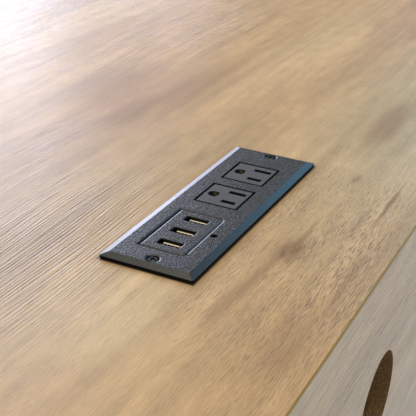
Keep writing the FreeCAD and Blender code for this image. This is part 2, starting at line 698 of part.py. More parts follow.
def build_rails(name, foot):
    """The rails on the right of a drawer and their mirror images on its left."""
    cabinet = add_body(f"{name}_cabinet_rail", ("end_inner", "box_front + rail_front_gap", foot))
    profile = sketch(cabinet, "XZ_Plane")
    lower, upper = "rail_gauge", "rail_gauge + channel"
    outline(profile, [
        ("0", "0"), ("-rail_flange", "0"), ("-rail_flange", lower), ("-rail_gauge", lower),
        ("-rail_gauge", upper), ("-rail_flange", upper), ("-rail_flange", "rail_height"),
        ("0", "rail_height"),
    ])
    pad(cabinet, profile, "rail_length", backwards=True)
    block(cabinet, ("-rail_flange", "-rail_gauge"), ("0", "2 * roller_inset"),
          (upper, "rail_height"), cut=True)
    axle(cabinet, ("-rail_gauge", "roller_inset", "front_roller_height"), -ALONG_X)

    runner = add_body(f"{name}_drawer_rail", ("end_inner", "box_front + rail_front_gap", foot))
    profile = sketch(runner, "XZ_Plane")
    web, under = "-(rail_space - rail_gauge)", "-(rail_space + side_thickness)"
    outline(profile, [
        ("-rail_lip", "flange_height"), ("-rail_lip", "flange_height + rail_gauge"),
        ("-rail_space", "flange_height + rail_gauge"), ("-rail_space", "side_foot"),
        (under, "side_foot"), (under, "rail_gauge"), (web, "rail_gauge"), (web, "flange_height"),
    ])
    pad(runner, profile, "rail_length - rail_front_gap", backwards=True)
    axle(runner, (web, "rail_length - rail_front_gap - roller_inset", "rear_roller_height"), ALONG_X)

    front_roller = build_roller(f"{name}_front_roller", (
        "end_inner - rail_gauge - roller_play",
        "box_front + rail_front_gap + roller_inset", f"{foot} + front_roller_height"))
    rear_roller = build_roller(f"{name}_rear_roller", (
        "end_inner - rail_space + rail_gauge + roller_play + roller_width",
        "box_rear - roller_inset", f"{foot} + rear_roller_height"))
    add_group(f"{name}_drawer_rails", [runner, mirrored(runner, "bay_middle")])
    add_group(f"{name}_front_rollers", [front_roller, mirrored(front_roller, "bay_middle")])
    add_group(f"{name}_rear_rollers", [rear_roller, mirrored(rear_roller, "bay_middle")])
    return [cabinet, mirrored(cabinet, "bay_middle")]


def axle(rail, at, towards):
    """The headed rivet on a rail that a roller turns on."""
    rod(rail, "axle_diameter", "axle_length", at, towards)
    rod(rail, "axle_head", "axle_head_height",
        shifted(at, towards, "axle_length - axle_head_height"), towards)


def build_roller(label, at):
    """A roller with a bore for its rivet, running from its place to -X."""
    roller = add_body(label, at)
    rod(roller, "roller_diameter", "roller_width", ORIGIN, -ALONG_X)
    rod(roller, "axle_diameter + 2 * axle_play", "roller_width", ORIGIN, -ALONG_X, cut=True)
    return roller


def build_drawer(name, front_foot, front_height):
    """One drawer: front, box, handle and rails. Gives the cabinet rails that carry it."""
    side_foot_z = f"{front_foot} + box_rise"
    side_top_z = f"{front_foot} + {front_height} - box_drop"
    groove = (f"{side_foot_z} + groove_rise - groove_play",
              f"{side_foot_z} + groove_rise + bottom_thickness + groove_play")
    slot_half = "box_half - side_thickness + groove_depth"
    handle_z = f"{front_foot} + {front_height} / 2"

    front = board(f"{name}_drawer_front", ("bay_left + front_gap", "end_inner - front_gap"),
                  ("panel_front", "box_front"), (front_foot, f"{front_foot} + {front_height}"))
    block(front, (f"bay_middle - ({slot_half})", f"bay_middle + {slot_half}"),
          ("box_front - groove_depth", "box_front"), groove, cut=True)
    for side in ("-", "+"):
        rod(front, "handle_screw + 4 * screw_play", "board_thickness",
            (f"bay_middle {side} handle_spacing / 2", "panel_front", handle_z), ALONG_Y, cut=True)

    length = ("box_front", "box_rear")
    left_outer, left_inner = "bay_middle - box_half", "bay_middle - box_half + side_thickness"
    right_inner, right_outer = "bay_middle + box_half - side_thickness", "bay_middle + box_half"
    height = (side_foot_z, side_top_z)
    left = board(f"{name}_drawer_left_side", (left_outer, left_inner), length, height)
    block(left, (f"{left_inner} - groove_depth", left_inner), length, groove, cut=True)
    right = board(f"{name}_drawer_right_side", (right_inner, right_outer), length, height)
    block(right, (right_inner, f"{right_inner} + groove_depth"), length, groove, cut=True)

    board(f"{name}_drawer_back", (left_inner, right_inner), ("box_rear - side_thickness", "box_rear"),
          (f"{side_foot_z} + groove_rise + bottom_thickness", side_top_z))
    bottom_half = f"{slot_half} - groove_play"
    bottom = add_node(f"{name}_drawer_bottom")
    block(bottom, (f"bay_middle - ({bottom_half})", f"bay_middle + {bottom_half}"),
          ("box_front - groove_depth + groove_play", "box_rear"),
          (f"{side_foot_z} + groove_rise", f"{side_foot_z} + groove_rise + bottom_thickness"))
    build_handle(f"{name}_drawer_handle", ("bay_middle", "panel_front", handle_z))
    build_handle_screws(f"{name}_handle_screws", handle_z)
    return build_rails(name, f"{side_foot_z} - side_foot")


def build_drawers():
    """Two small drawers over one of twice the height."""
    upper = "(top_underside - front_gap - front_unit)"
    middle = "(top_underside - 2 * front_gap - 2 * front_unit)"
    lower = "(bay_floor + front_gap)"
    rails = build_drawer("upper", upper, "front_unit")
    rails += build_drawer("middle", middle, "front_unit")
    rails += build_drawer("lower", lower, "2 * front_unit")
    add_group("cabinet_rails", rails)


# The power module: its own frame is centred on the top's upper face, with +X along the module

MODULE = ("module_shift", "module_y", "desk_height")
OUTLETS = ("near", "far")
OUTLET_X = {"near": "near_outlet", "far": "far_outlet"}
USB_X = [f"usb_centre {step}" for step in ("- usb_pitch", "+ 0", "+ usb_pitch")]
CONTACT_STEPS = ("-1.5", "-0.5", "0.5", "1.5")


def about(middle, span):
    """The (low, high) formulas of a span about its middle."""
    return (f"{middle} - ({span}) / 2", f"{middle} + ({span}) / 2")


def build_faceplate():
    """The bevelled plate with its openings for the inserts, the indicator and the screws."""
    plate = add_node("power_faceplate", MODULE)
    foot = sketch(plate, "XY_Plane")
    rectangle(foot, "module_length", "module_width")
    pad(plate, foot, "plate_lip")
    rim = sketch(plate, "XY_Plane", "plate_lip")
    rectangle(rim, "module_length", "module_width")
    face = sketch(plate, "XY_Plane", "plate_rise")
    rectangle(face, "module_length - 2 * plate_bevel", "module_width - 2 * plate_bevel")
    bevel = plate.newObject("PartDesign::AdditiveLoft", "Bevel")
    bevel.Profile = rim
    bevel.Sections = [face]
    bevel.Ruled = True
    corners = pick_edges(bevel, is_plate_corner)
    cornered = rounded(plate, bevel, "plate_corner", corners)
    edges = pick_edges(cornered, lambda edge, middle: on_plate(middle))
    crowned = rounded(plate, cornered, "plate_round", edges)
    edges = pick_edges(crowned, lambda edge, middle: middle.z < NEAR)
    eased(plate, crowned, "plate_foot", edges)

    through = ("0", "plate_rise")
    for name in OUTLETS:
        block(plate, about(OUTLET_X[name], "outlet_length + 2 * outlet_groove"),
              about("0", "outlet_width + 2 * outlet_groove"), through, cut=True)
    opening = block(plate, about("usb_centre", "usb_opening_length"),
                    about("usb_opening_y", "usb_opening_width"), through, cut=True)
    half_length = size("usb_opening_length") / 2 + NEAR
    half_width = size("usb_opening_width") / 2 + NEAR

    def by_opening(point):
        along, across = abs(point.x - size("usb_centre")), abs(point.y - size("usb_opening_y"))
        return along < half_length and across < half_width

    def is_rear_corner(edge, point):
        return is_upright(edge) and by_opening(point) and point.y > 0

    def is_opening_rim(edge, point):
        return on_plate(point) and by_opening(point)

    cornered = rounded(plate, opening, "usb_corner + usb_groove", pick_edges(opening, is_rear_corner))
    rimmed(plate, cornered, "rim_width", "rim_drop", pick_edges(cornered, is_opening_rim))
    rod(plate, "lamp_hole", "plate_rise", ("lamp_along", "lamp_across", "0"), ALONG_Z, cut=True)
    for side in ("-", ""):
        rod(plate, "screw_shank + 2 * screw_play", "plate_rise",
            (f"{side}screw_along", "0", "0"), ALONG_Z, cut=True)
        rod(plate, "screw_recess", "screw_recess_depth",
            (f"{side}screw_along", "0", "plate_rise - screw_recess_depth"), ALONG_Z, cut=True)
        flare = plate.newObject("PartDesign::SubtractiveCone", "Flare")
        bind(flare, {"Radius1": "screw_recess / 2", "Radius2": "screw_recess / 2 + rim_width",
                     "Height": "rim_drop"})
        place(flare, (f"{side}screw_along", "0", "plate_rise - rim_drop"))


def is_plate_corner(edge, middle):
    """Whether an edge stands or slopes at one of the faceplate's four corners."""
    half_length, half_width = size("module_length") / 2, size("module_width") / 2
    inside_end = half_length - abs(middle.x)
    inside_side = half_width - abs(middle.y)
    return abs(inside_end - inside_side) < NEAR


def on_plate(point):
    """Whether a point of the module is at the height of the faceplate's upper face."""
    return point.z > size("plate_rise") - NEAR


def build_outlet(name):
    """An outlet face: a block with a shoulder, two blade slots and a ground hole."""
    outlet = add_node(f"{name}_outlet_face", MODULE)
    middle = OUTLET_X[name]
    foot = "plate_rise - outlet_depth"
    face = block(outlet, about(middle, "outlet_length"), about("0", "outlet_width"), (foot, "plate_rise"))
    rounded(outlet, face, "insert_round", pick_edges(face, lambda edge, point: on_plate(point)))
    skirt = "2 * outlet_groove + 2 * insert_shoulder"
    block(outlet, about(middle, f"outlet_length + {skirt}"),
          about("0", f"outlet_width + {skirt}"), ("-insert_shoulder", "0"))
    through = (foot, "plate_rise")
    block(outlet, about(f"{middle} + blade_spacing / 2", "blade_slot"),
          about("blade_offset", "hot_slot"), through, cut=True)
    block(outlet, about(f"{middle} - blade_spacing / 2", "blade_slot"),
          about("blade_offset", "neutral_slot"), through, cut=True)
    rod(outlet, "ground_hole", "outlet_depth", (middle, "-ground_offset", foot), ALONG_Z, cut=True)
    flat_side = "-ground_offset + ground_hole / 2 - ground_flat"
    block(outlet, about(middle, "ground_hole"), ("-ground_offset", flat_side), through, cut=True)


def build_bus_bars():
    """The hot, neutral and ground bars, each with a clip under each outlet, and their carrier."""
    bar_span = ("far_outlet - bus_overhang", "near_outlet + bus_overhang")
    bar_height = ("carrier_top", "bus_top")
    hot_line, neutral_line = "blade_offset + bus_spread", "blade_offset - bus_spread"
    for name, side, line, leaf in (
        ("hot", "+", hot_line, (f"{hot_line} - clip_width", hot_line)),
        ("neutral", "-", neutral_line, (neutral_line, f"{neutral_line} + clip_width")),
    ):
        bar = add_node(f"{name}_bus_bar", MODULE)
        block(bar, bar_span, about(line, "bus_width"), bar_height)
        for outlet in OUTLETS:
            blade = f"{OUTLET_X[outlet]} {side} blade_spacing / 2"
            for shift in ("-", "+"):
                sheet = f"{blade} {shift} (clip_mouth + clip_sheet) / 2"
                block(bar, about(sheet, "clip_sheet"), leaf, ("carrier_top", "clip_top"))
    ground = add_node("ground_bus_bar", MODULE)
    block(ground, bar_span, about("-ground_offset", "bus_width"), bar_height)
    for outlet in OUTLETS:
        rod(ground, "ground_clip_bore + 2 * clip_sheet", "clip_height",
            (OUTLET_X[outlet], "-ground_offset", "bus_top"), ALONG_Z)
        rod(ground, "ground_clip_bore", "clip_height",
            (OUTLET_X[outlet], "-ground_offset", "bus_top"), ALONG_Z, cut=True)
        far_side = f"{OUTLET_X[outlet]} - ground_hole / 2 + leaf_gap"
        leaf = block(ground, (far_side, f"{far_side} + leaf_sheet"), about("-ground_offset", "leaf_width"),
                     ("bus_top", "plate_rise - leaf_recess"))
    tip = size("plate_rise") - size("leaf_recess") - NEAR
    reach = size("leaf_gap") + size("leaf_sheet") - size("ground_hole") / 2
    faces = [size(OUTLET_X[outlet]) + reach for outlet in OUTLETS]

    def is_leaf_tip(edge, middle):
        return middle.z > tip and any(abs(middle.x - face) < NEAR for face in faces)

    eased(ground, leaf, "leaf_slope", pick_edges(leaf, is_leaf_tip))
    carrier = add_node("bus_bar_carrier", MODULE)
    blank = block(carrier, about("near_outlet - outlet_pitch / 2", "carrier_length"),
                  about("0", "carrier_width"), ("housing_floor", "carrier_top"))
    eased(carrier, blank, "arris", pick_edges(blank, lambda edge, middle: True))


def build_usb():
    """The USB insert, and the three sockets behind it on their circuit board."""
    insert = add_node("usb_insert", MODULE)
    blank = block(insert, about("usb_centre", "usb_length"), about("-usb_shift", "usb_width"),
                  ("-insert_shoulder", "plate_rise"))
    corners = pick_edges(blank, lambda edge, point: is_upright(edge) and point.y > 0)
    rear = rounded(insert, blank, "usb_corner", corners)
    corners = pick_edges(rear, lambda edge, point: is_upright(edge) and point.y < 0)
    cornered = rounded(insert, rear, "usb_front_corner", corners)
    edges = pick_edges(cornered, lambda edge, point: on_plate(point))
    rimmed(insert, cornered, "rim_width", "rim_drop", edges)
    block(insert, about("usb_centre", "usb_opening_length + 2 * insert_shoulder"),
          about("usb_opening_y", "usb_opening_width + 2 * insert_shoulder"), ("-insert_shoulder", "0"))
    block(insert, about("usb_centre", "usb_length - 2 * usb_wall"),
          about("-usb_shift", "usb_width - 2 * usb_wall"),
          ("-insert_shoulder", "plate_rise - usb_skin"), cut=True)
    for middle in USB_X:
        mouth = block(insert, about(middle, "usb_mouth_width"), about("0", "usb_mouth_length"),
                      ("plate_rise - usb_skin", "plate_rise"), cut=True)
    mouth_end = size("usb_mouth_length") / 2
    mouths_half = size("usb_pitch") + size("usb_mouth_width") / 2 + NEAR

    def is_mouth_corner(edge, point):
        return is_upright(edge) and abs(abs(point.y) - mouth_end) < NEAR

    def is_mouth_rim(edge, point):
        by_mouths = abs(point.x - size("usb_centre")) < mouths_half
        return on_plate(point) and by_mouths and abs(point.y) < mouth_end + NEAR

    cornered = rounded(insert, mouth, "usb_mouth_round", pick_edges(mouth, is_mouth_corner))
    rimmed(insert, cornered, "mouth_rim", "mouth_rim_drop", pick_edges(cornered, is_mouth_rim))

    shell_height = ("board_top", "plate_rise - usb_skin")
    shells, tongues, contacts = [], [], []
    for number, middle in enumerate(USB_X, start=1):
        shell = add_body(f"usb_shell_{number}", MODULE)
        block(shell, about(middle, "usb_mouth_width + 2 * usb_shell"),
              about("0", "usb_mouth_length + 2 * usb_shell"), shell_height)
        block(shell, about(middle, "usb_mouth_width"), about("0", "usb_mouth_length"),
              shell_height, cut=True)
        shells.append(shell)
        tongue = add_body(f"usb_tongue_{number}", MODULE)
        block(tongue, about(middle, "usb_mouth_width - 2 * tongue_play"),
              about("0", "usb_mouth_length - 2 * tongue_play"), ("board_top", "board_top + tongue_base"))
        far = f"{middle} - usb_mouth_width / 2 + tongue_gap"
        block(tongue, (far, f"{far} + tongue_thickness"), about("0", "tongue_length"),
              ("board_top", "plate_rise - tongue_recess"))
        tongues.append(tongue)
        for step in CONTACT_STEPS:
            contact = add_body(f"usb_contact_{number}", MODULE)
            block(contact, (f"{far} + tongue_thickness", f"{far} + tongue_thickness + contact_sheet"),
                  about(f"{step} * contact_pitch", "contact_width"),
                  ("board_top + tongue_base", "plate_rise - tongue_recess - contact_setback"))
            contacts.append(contact)
    add_group("usb_shells", shells)
    add_group("usb_tongues", tongues)
    add_group("usb_contacts", contacts)
    board("usb_circuit_board", about("module_shift + usb_centre", "board_length"),
          about("module_y", "board_width"),
          ("desk_height + board_top - board_sheet", "desk_height + board_top"))


def build_lamp():
    """The indicator lens: a domed pin with a flange under the faceplate."""
    lamp = add_node("indicator_lens",
                    ("module_shift + lamp_along", "module_y + lamp_across", "desk_height"))
    pin = "lamp_hole / 2 - lamp_play"
    crown = "plate_rise - lamp_recess"
    turned(lamp, [
        ("0", "-lamp_flange_height"), ("lamp_flange / 2", "-lamp_flange_height"),
        ("lamp_flange / 2", "0"), (pin, "0"), (pin, f"{crown} - ({pin}) / 2"),
        (f"({pin}) / 2", crown), ("0", crown),
    ])


def build_faceplate_screws():
    """The two screws that hold the faceplate to the top."""
    master = add_body("faceplate_screw")
    seat = "plate_rise - screw_recess_depth"
    crown = f"{seat} + screw_head_height"
    turned(master, [
        ("0", "screw_play - screw_bite"), ("screw_shank / 2", "screw_shank / 2 - screw_bite"),
        ("screw_shank / 2", seat), ("screw_head / 2", seat),
        ("screw_head / 2", f"{seat} + screw_head_height / 2"),
        ("screw_head / 2 - screw_head_height / 2", crown), ("0", crown),
    ])
    driver_cross(master, "screw_cross_length", "screw_cross", "screw_cross_depth", crown)
    add_group("faceplate_screws", [
        copy_at(master, (f"module_shift {side} screw_along", "module_y", "desk_height"))
        for side in ("-", "+")
    ])


def build_housing():
    """The open box under the faceplate, with posts for the circuit board and the cord's gland."""
    housing = add_node("module_housing", MODULE)
    blank = block(housing, about("0", "housing_length"), about("0", "housing_width"),
                  ("-housing_depth", "0"))
    upright = pick_edges(blank, lambda edge, point: is_upright(edge))
    rounded(housing, blank, "housing_wall", upright)
    block(housing, about("0", "housing_length - 2 * housing_wall"),
          about("0", "housing_width - 2 * housing_wall"), ("housing_floor", "0"), cut=True)
    for along in ("-", "+"):
        for across in ("-", "+"):
            rod(housing, "post_diameter", "board_top - board_sheet - housing_floor", (
                f"usb_centre {along} (board_length / 2 - post_diameter / 2)",
                f"0 {across} (board_width / 2 - post_diameter / 2)", "housing_floor"), ALONG_Z)
    rod(housing, "gland_body + 2 * gland_play", "housing_wall",
        ("usb_centre", "0", "-housing_depth"), ALONG_Z, cut=True)
    gland = add_node("cord_gland", ("module_shift + usb_centre", "module_y", "desk_height - housing_depth"))
    turned(gland, [
        ("gland_bore / 2", "-gland_flange_height"), ("gland_flange / 2", "-gland_flange_height"),
        ("gland_flange / 2", "0"), ("gland_body / 2", "0"), ("gland_body / 2", "gland_length"),
        ("gland_bore / 2", "gland_length"),
    ])


def build_module():
    """The power module that is let into the top."""
    build_faceplate()
    for name in OUTLETS:
        build_outlet(name)
    build_bus_bars()
    build_usb()
    build_lamp()
    build_faceplate_screws()
    build_housing()


def write_parts():
    """Checks every object, then writes each sub-part's shape to a file named for it."""
    doc.recompute()
    failed = [item.Label for item in doc.Objects if {"Invalid", "Error"} & set(item.State)]
    if failed:
        raise RuntimeError(f"objects that failed: {failed}")
    for node in nodes:
        if node.Shape.isNull() or not node.Shape.isValid() or not node.Shape.Solids:
            raise RuntimeError(f"bad shape: {node.Label}")
    os.makedirs("parts", exist_ok=True)
    for node in nodes:
        node.Shape.exportStep(f"parts/{node.Label}.step")
        print(f"{node.Label}: {len(node.Shape.Solids)} solids, {node.Shape.Volume:.0f} mm3")


desk_top = build_top()
build_bands()
desk_panels = build_panels()
build_feet(desk_panels)
build_fittings(desk_top, desk_panels)
build_drawers()
build_module()
write_parts()
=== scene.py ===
import json
import math

import bpy
from bpy.props import FloatProperty, FloatVectorProperty, PointerProperty
from mathutils import Matrix, Vector


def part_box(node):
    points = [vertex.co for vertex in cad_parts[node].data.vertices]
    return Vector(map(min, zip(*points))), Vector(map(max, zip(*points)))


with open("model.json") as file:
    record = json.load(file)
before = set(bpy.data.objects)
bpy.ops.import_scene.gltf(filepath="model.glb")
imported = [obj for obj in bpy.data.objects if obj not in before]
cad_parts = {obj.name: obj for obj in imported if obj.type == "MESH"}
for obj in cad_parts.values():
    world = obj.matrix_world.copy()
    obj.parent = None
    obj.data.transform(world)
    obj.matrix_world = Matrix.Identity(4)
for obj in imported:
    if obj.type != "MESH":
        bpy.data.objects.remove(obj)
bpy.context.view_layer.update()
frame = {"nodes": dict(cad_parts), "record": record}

bl_info = {
    "name": "Office Desk Finishes",
    "version": (1, 0, 0),
    "blender": (4, 5, 0),
    "location": "3D View > Sidebar > Desk",
    "description": "Finishes an office desk with a power module in its top, on a pale studio stage",
    "category": "Material",
}

CAD_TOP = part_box("top_panel")[1][2]
CABLE_HOLE = next(mount for mount in frame["record"]["mounts"] if mount["name"] == "cable_hole")
MM = 0.001
DRAWERS = ("upper", "middle", "lower")

# Turns of a pattern that lay its grain towards the rear, or stand it upright
QUARTER = math.pi / 2
GRAIN_TO_REAR = (0, 0, QUARTER)
GRAIN_UPRIGHT = (0, QUARTER, 0)

# Sockets of a Mix node that mixes two colours: the two, and the result
COLOUR_A = 6
COLOUR_B = 7
MIXED = 2

# Range that most of a noise texture's values keep to
NOISE_LOW = 0.3
NOISE_HIGH = 0.7

# An oval feature fades in from its rim to its heart, in shares of its half length and half width
OVAL_SCALE = 2.0
OVAL_RIM = 1.5
OVAL_HEART = 0.2

# The grain parts round a knot as far out as its length and width divided by the first of these.
# The second draws the pattern's coordinates towards the knot's middle, which spreads the lines
KNOT_SCALE = 0.6
KNOT_SPREAD = -0.7

# Grain of the print: the most that a line or fibre brightens it, the contrast of each part,
# the height of each part in the relief, the share of pores and fibres outside their fields,
# and how far the lines' spacing drifts, in radians
LINE_PEAK = 0.25
LINE_CONTRAST = 0.50
LINE_HEIGHT = 1.5
FIBRE_PEAK = 0.20
FIBRE_CONTRAST = 0.60
FIBRE_HEIGHT = 0.4
PORE_CONTRAST = 0.70
PORE_HEIGHT = -1.0
PORES_ELSEWHERE = 0.25
SPACING_DRIFT = 8.0

# Painted shade round the faceplate's foot, with dust in it: the wide golden line is a painted soft shadow
# warmed by painted bounced light, the narrow dark one a painted contact shadow and dust. For each: how far it
# reaches, its strength and its colour, and the share of its reach over which it is strongest
SHADE_AND_DUST_LINES = (
    (7 * MM, 0.35, "#8A5E1E"),
    (1.4 * MM, 0.92, "#1A140C"),
)
SHADE_AND_DUST_CORE = 0.2

# Height of the amber glue line, down from the top's face
GLUE_LINE = 1.7 * MM

# Tilt of a face, as the upward part of its normal
UPRIGHT = 0.2
SLOPING = 0.6
NEARLY_LEVEL = 0.95
LEVEL = 0.99
LOOKS_UP = 0.5

# Share of the texture left on the slopes of a moulding, and roughness added on its upright walls
SLOPE_TEXTURE = 0.08
WALL_ROUGHNESS = 0.7

# Place on the top, near the power module, that the soft lights face
LIGHT_TARGET = (0.0, 0.2, 0.75)

# Oval features of the oak print on the top, and one of painted light among the pale patches, in millimetres:
# place to the right and to the rear, length along the grain, width across it, and strength from 0 to 1
KNOTS = (
    (26, 301, 32, 15, 0.66),
    (32, 299, 18, 4, 0.80),
    (25, 304, 18, 3, 0.80),
    (-77, 302, 16, 5, 0.50),
    (330, 60, 40, 14, 0.85),
    (-470, -150, 44, 15, 0.80),
    (180, -220, 36, 12, 0.75),
    (-560, 180, 40, 13, 0.70),
    (560, -90, 48, 16, 0.70),
)
DARK_STREAKS = (
    (6, 301, 40, 4, 0.55),
    (50, 298, 44, 6, 0.50),
    (68, 296, 60, 7, 0.50),
    (92, 294, 60, 10, 0.40),
    (50, 337, 90, 5, 0.40),
    (-54, 329, 60, 2.4, 0.85),
    (-8, 342, 110, 14, 0.20),
    (-20, 322, 30, 2, 0.40),
    (108, 331, 70, 26, 0.36),
    (-184, 292, 120, 22, 0.62),
    (-108, 132, 90, 26, 0.50),
    (-180, 145, 150, 32, 0.42),
    (-55, 208, 30, 8, 0.30),
    (105, 184, 210, 62, 0.42),
    (140, 200, 140, 40, 0.36),
    (-150, 92, 130, 50, 0.50),
    (10, 120, 220, 60, 0.25),
    (300, 62, 300, 22, 0.35),
    (-420, -148, 330, 24, 0.35),
    (230, -222, 280, 18, 0.30),
    (-330, 20, 420, 26, 0.28),
    (470, 210, 380, 22, 0.30),
    (-120, -300, 420, 22, 0.28),
)
STRAIGHT_GRAIN = (
    (95, 185, 270, 100, 1.0),
    (0, 118, 220, 50, 0.8),
    (-420, 70, 620, 130, 0.9),
    (430, -190, 560, 130, 0.9),
    (-180, -230, 700, 110, 0.8),
    (520, 270, 340, 90, 0.8),
)
PORE_FIELDS = (
    (20, 326, 230, 60, 1.0),
    (10, 288, 240, 50, 0.6),
    (-330, -60, 560, 110, 0.8),
    (330, 0, 520, 150, 0.8),
    (-500, 300, 420, 90, 0.8),
    (60, -290, 460, 100, 0.7),
)
GREY_PATCHES = (
    (-260, 315, 560, 150, 1.0),
    (60, 205, 360, 200, 0.5),
    (-560, -60, 360, 140, 0.7),
    (330, -290, 420, 110, 0.7),
    (560, 130, 300, 130, 0.6),
)
# The first pale patch, just to the right of the faceplate's right-hand end, is painted light: bounced light
# and sheen. The others are pale tone of the print
PALE_PATCHES_AND_PAINTED_LIGHT = (
    (112, 256, 100, 44, 0.9),
    (-40, 262, 160, 40, 0.3),
    (-330, 190, 340, 70, 0.5),
    (260, -80, 420, 80, 0.7),
    (-450, -20, 460, 90, 0.7),
    (-60, -250, 420, 70, 0.6),
)
ROSE_PATCHES = (
    (-110, 130, 180, 60, 0.6),
    (20, 125, 260, 110, 0.5),
    (-480, 250, 420, 110, 0.7),
    (420, 40, 420, 120, 0.7),
    (-200, -140, 460, 110, 0.7),
)


def linear(hex_colour):
    """An sRGB hex colour as linear red, green, blue and alpha."""
    channels = [int(hex_colour[start:start + 2], 16) / 255 for start in (1, 3, 5)]
    return [c / 12.92 if c <= 0.04045 else ((c + 0.055) / 1.055) ** 2.4 for c in channels] + [1.0]


def colour_property(name, description, hex_colour):
    """A colour that a user can change."""
    return FloatVectorProperty(name=name, description=description, subtype="COLOR", size=4,
                               min=0, max=1, default=linear(hex_colour))


class DeskOak(bpy.types.PropertyGroup):
    """Colours and sizes of the oak print on the boards"""
    tan: colour_property("Tan", "Main colour of the oak print", "#BF9E73")
    rose: colour_property("Rose", "Pinkish parts of the oak print", "#B59275")
    grey: colour_property("Grey", "Grey parts of the oak print", "#B7A583")
    pale: colour_property("Pale", "Pale parts of the oak print", "#D2B88E")
    pore: colour_property("Pore", "Dark pores of the oak print", "#6E5136")
    streak: colour_property("Streak", "Dark streaks of the oak print", "#836340")
    knot: colour_property("Knot", "Knots of the oak print", "#725338")
    glue: colour_property("Glue line", "Glue line at the upper arris of the rear band", "#8F7326")
    # Printed fibres are nearer 0.4 mm apart, pores 0.2 mm wide: too fine to show, so both are drawn coarser
    line_spacing: FloatProperty(name="Line spacing", description="Straight grain lines, one to the next",
                                unit="LENGTH", default=2 * MM)
    fibre_spacing: FloatProperty(name="Fibre spacing", description="Broken grain lines, one to the next",
                                 unit="LENGTH", default=1.3 * MM)
    pore_length: FloatProperty(name="Pore length", description="Length of a pore along the grain",
                               unit="LENGTH", default=7 * MM)
    pore_width: FloatProperty(name="Pore width", description="Width of a pore across the grain",
                              unit="LENGTH", default=0.5 * MM)
    relief: FloatProperty(name="Relief", description="Depth of the embossed grain", unit="LENGTH",
                          default=0.04 * MM)


class DeskModule(bpy.types.PropertyGroup):
    """Colours and sizes of the power module"""
    # The faceplate's colour runs from the dark charcoal in its texture's hollows, a painted shade, to the
    # charcoal on its raised grains, a painted glint
    charcoal: colour_property("Charcoal", "Faceplate and USB insert", "#313437")
    charcoal_hollow_shade: colour_property("Dark charcoal", "Hollows of the faceplate's texture", "#050606")
    outlet: colour_property("Outlet", "Outlet faces", "#4E5054")
    tongue: colour_property("Tongue", "USB tongues", "#FBF1DC")
    # A spark-eroded grain is nearer 0.15 mm, too fine to show, so it is drawn coarser
    spark: FloatProperty(name="Spark texture", description="Grain of the faceplate's spark-eroded texture",
                         unit="LENGTH", default=0.75 * MM)


class DeskStage(bpy.types.PropertyGroup):
    """Camera, floor and surroundings"""
    camera_place: FloatVectorProperty(name="Camera place", description="Where the camera stands",
                                      subtype="TRANSLATION", unit="LENGTH",
                                      default=(0.4522, 0.4486, 0.9856))
    camera_look: FloatVectorProperty(name="Camera direction", description="Where the camera looks",
                                     subtype="DIRECTION", default=(-0.82053, -0.37571, -0.43080))
    camera_roll: FloatProperty(name="Camera roll", description="Turn of the camera about its view",
                               subtype="ANGLE", default=math.radians(2.73))
    camera_lens: FloatProperty(name="Lens", description="Focal length on a 36 mm sensor, in millimetres",
                               default=86.12)
    floor: colour_property("Floor", "Studio floor", "#DADCE0")
    sky: colour_property("Studio", "Soft light from all round", "#F4F4F6")


def add(tree, kind, inputs=None, **settings):
    """Adds a node: settings are its properties, inputs its values or the sockets that feed them."""
    node = tree.nodes.new(kind)
    for name, value in settings.items():
        setattr(node, name, value)
    for key, value in (inputs or {}).items():
        if isinstance(value, bpy.types.NodeSocket):
            tree.links.new(value, node.inputs[key])
        else:
            node.inputs[key].default_value = value
    return node


def new_material(name):
    """A material of one principled shader: gives the material, its node tree and the shader."""
    material = bpy.data.materials.new(name)
    material.use_nodes = True
    tree = material.node_tree
    return material, tree, tree.nodes["Principled BSDF"]


def finish(names, material):
    """Gives a material to CAD nodes."""
    for name in names:
        for slot in frame["nodes"][name].material_slots:
            slot.material = material


def pattern_space(tree, turn=(0, 0, 0)):
    """The desk's own coordinates in metres, turned so that the first one runs along the grain."""
    place = add(tree, "ShaderNodeTexCoord")
    return add(tree, "ShaderNodeMapping", {"Vector": place.outputs["Object"], "Rotation": turn}).outputs[0]


def streaks(tree, space, length, width, low=0.0, high=1.0, detail=2.0):
    """Streaks of a length along the grain and a width across it, running from low to high."""
    steps = (1 / length, 1 / width, 1 / width)
    stretched = add(tree, "ShaderNodeVectorMath", {0: space, 1: steps}, operation="MULTIPLY")
    noise = add(tree, "ShaderNodeTexNoise", {"Vector": stretched.outputs[0], "Scale": 1.0, "Detail": detail})
    spread = add(tree, "ShaderNodeMapRange", {"Value": noise.outputs[0], "From Min": NOISE_LOW,
                                              "From Max": NOISE_HIGH, "To Min": low, "To Max": high})
    return spread.outputs[0]


def reach_from_oval(tree, space, feature, scale):
    """The offset from an oval feature's centre, and its length in shares of the feature's own sizes."""
    right, rear, length, width, _ = feature
    centre = (right * MM, rear * MM, 0)
    steps = (scale / (length * MM), scale / (width * MM), 0)
    offset = add(tree, "ShaderNodeVectorMath", {0: space, 1: centre}, operation="SUBTRACT")
    scaled = add(tree, "ShaderNodeVectorMath", {0: offset.outputs[0], 1: steps}, operation="MULTIPLY")
    reach = add(tree, "ShaderNodeVectorMath", {0: scaled.outputs[0]}, operation="LENGTH")
    return offset.outputs[0], reach.outputs["Value"]


def ovals(tree, space, features):
    """How strongly each point lies in one of some soft oval features, from 0 outside them all."""
    strongest = None
    for feature in features:
        _, reach = reach_from_oval(tree, space, feature, OVAL_SCALE)
        inside = add(tree, "ShaderNodeMapRange", {"Value": reach, "From Min": OVAL_RIM,
                                                  "From Max": OVAL_HEART, "To Min": 0.0,
                                                  "To Max": feature[-1]},
                     interpolation_type="SMOOTHSTEP").outputs[0]
        if strongest is None:
            strongest = inside
        else:
            strongest = add(tree, "ShaderNodeMath", {0: strongest, 1: inside}, operation="MAXIMUM").outputs[0]
    return strongest


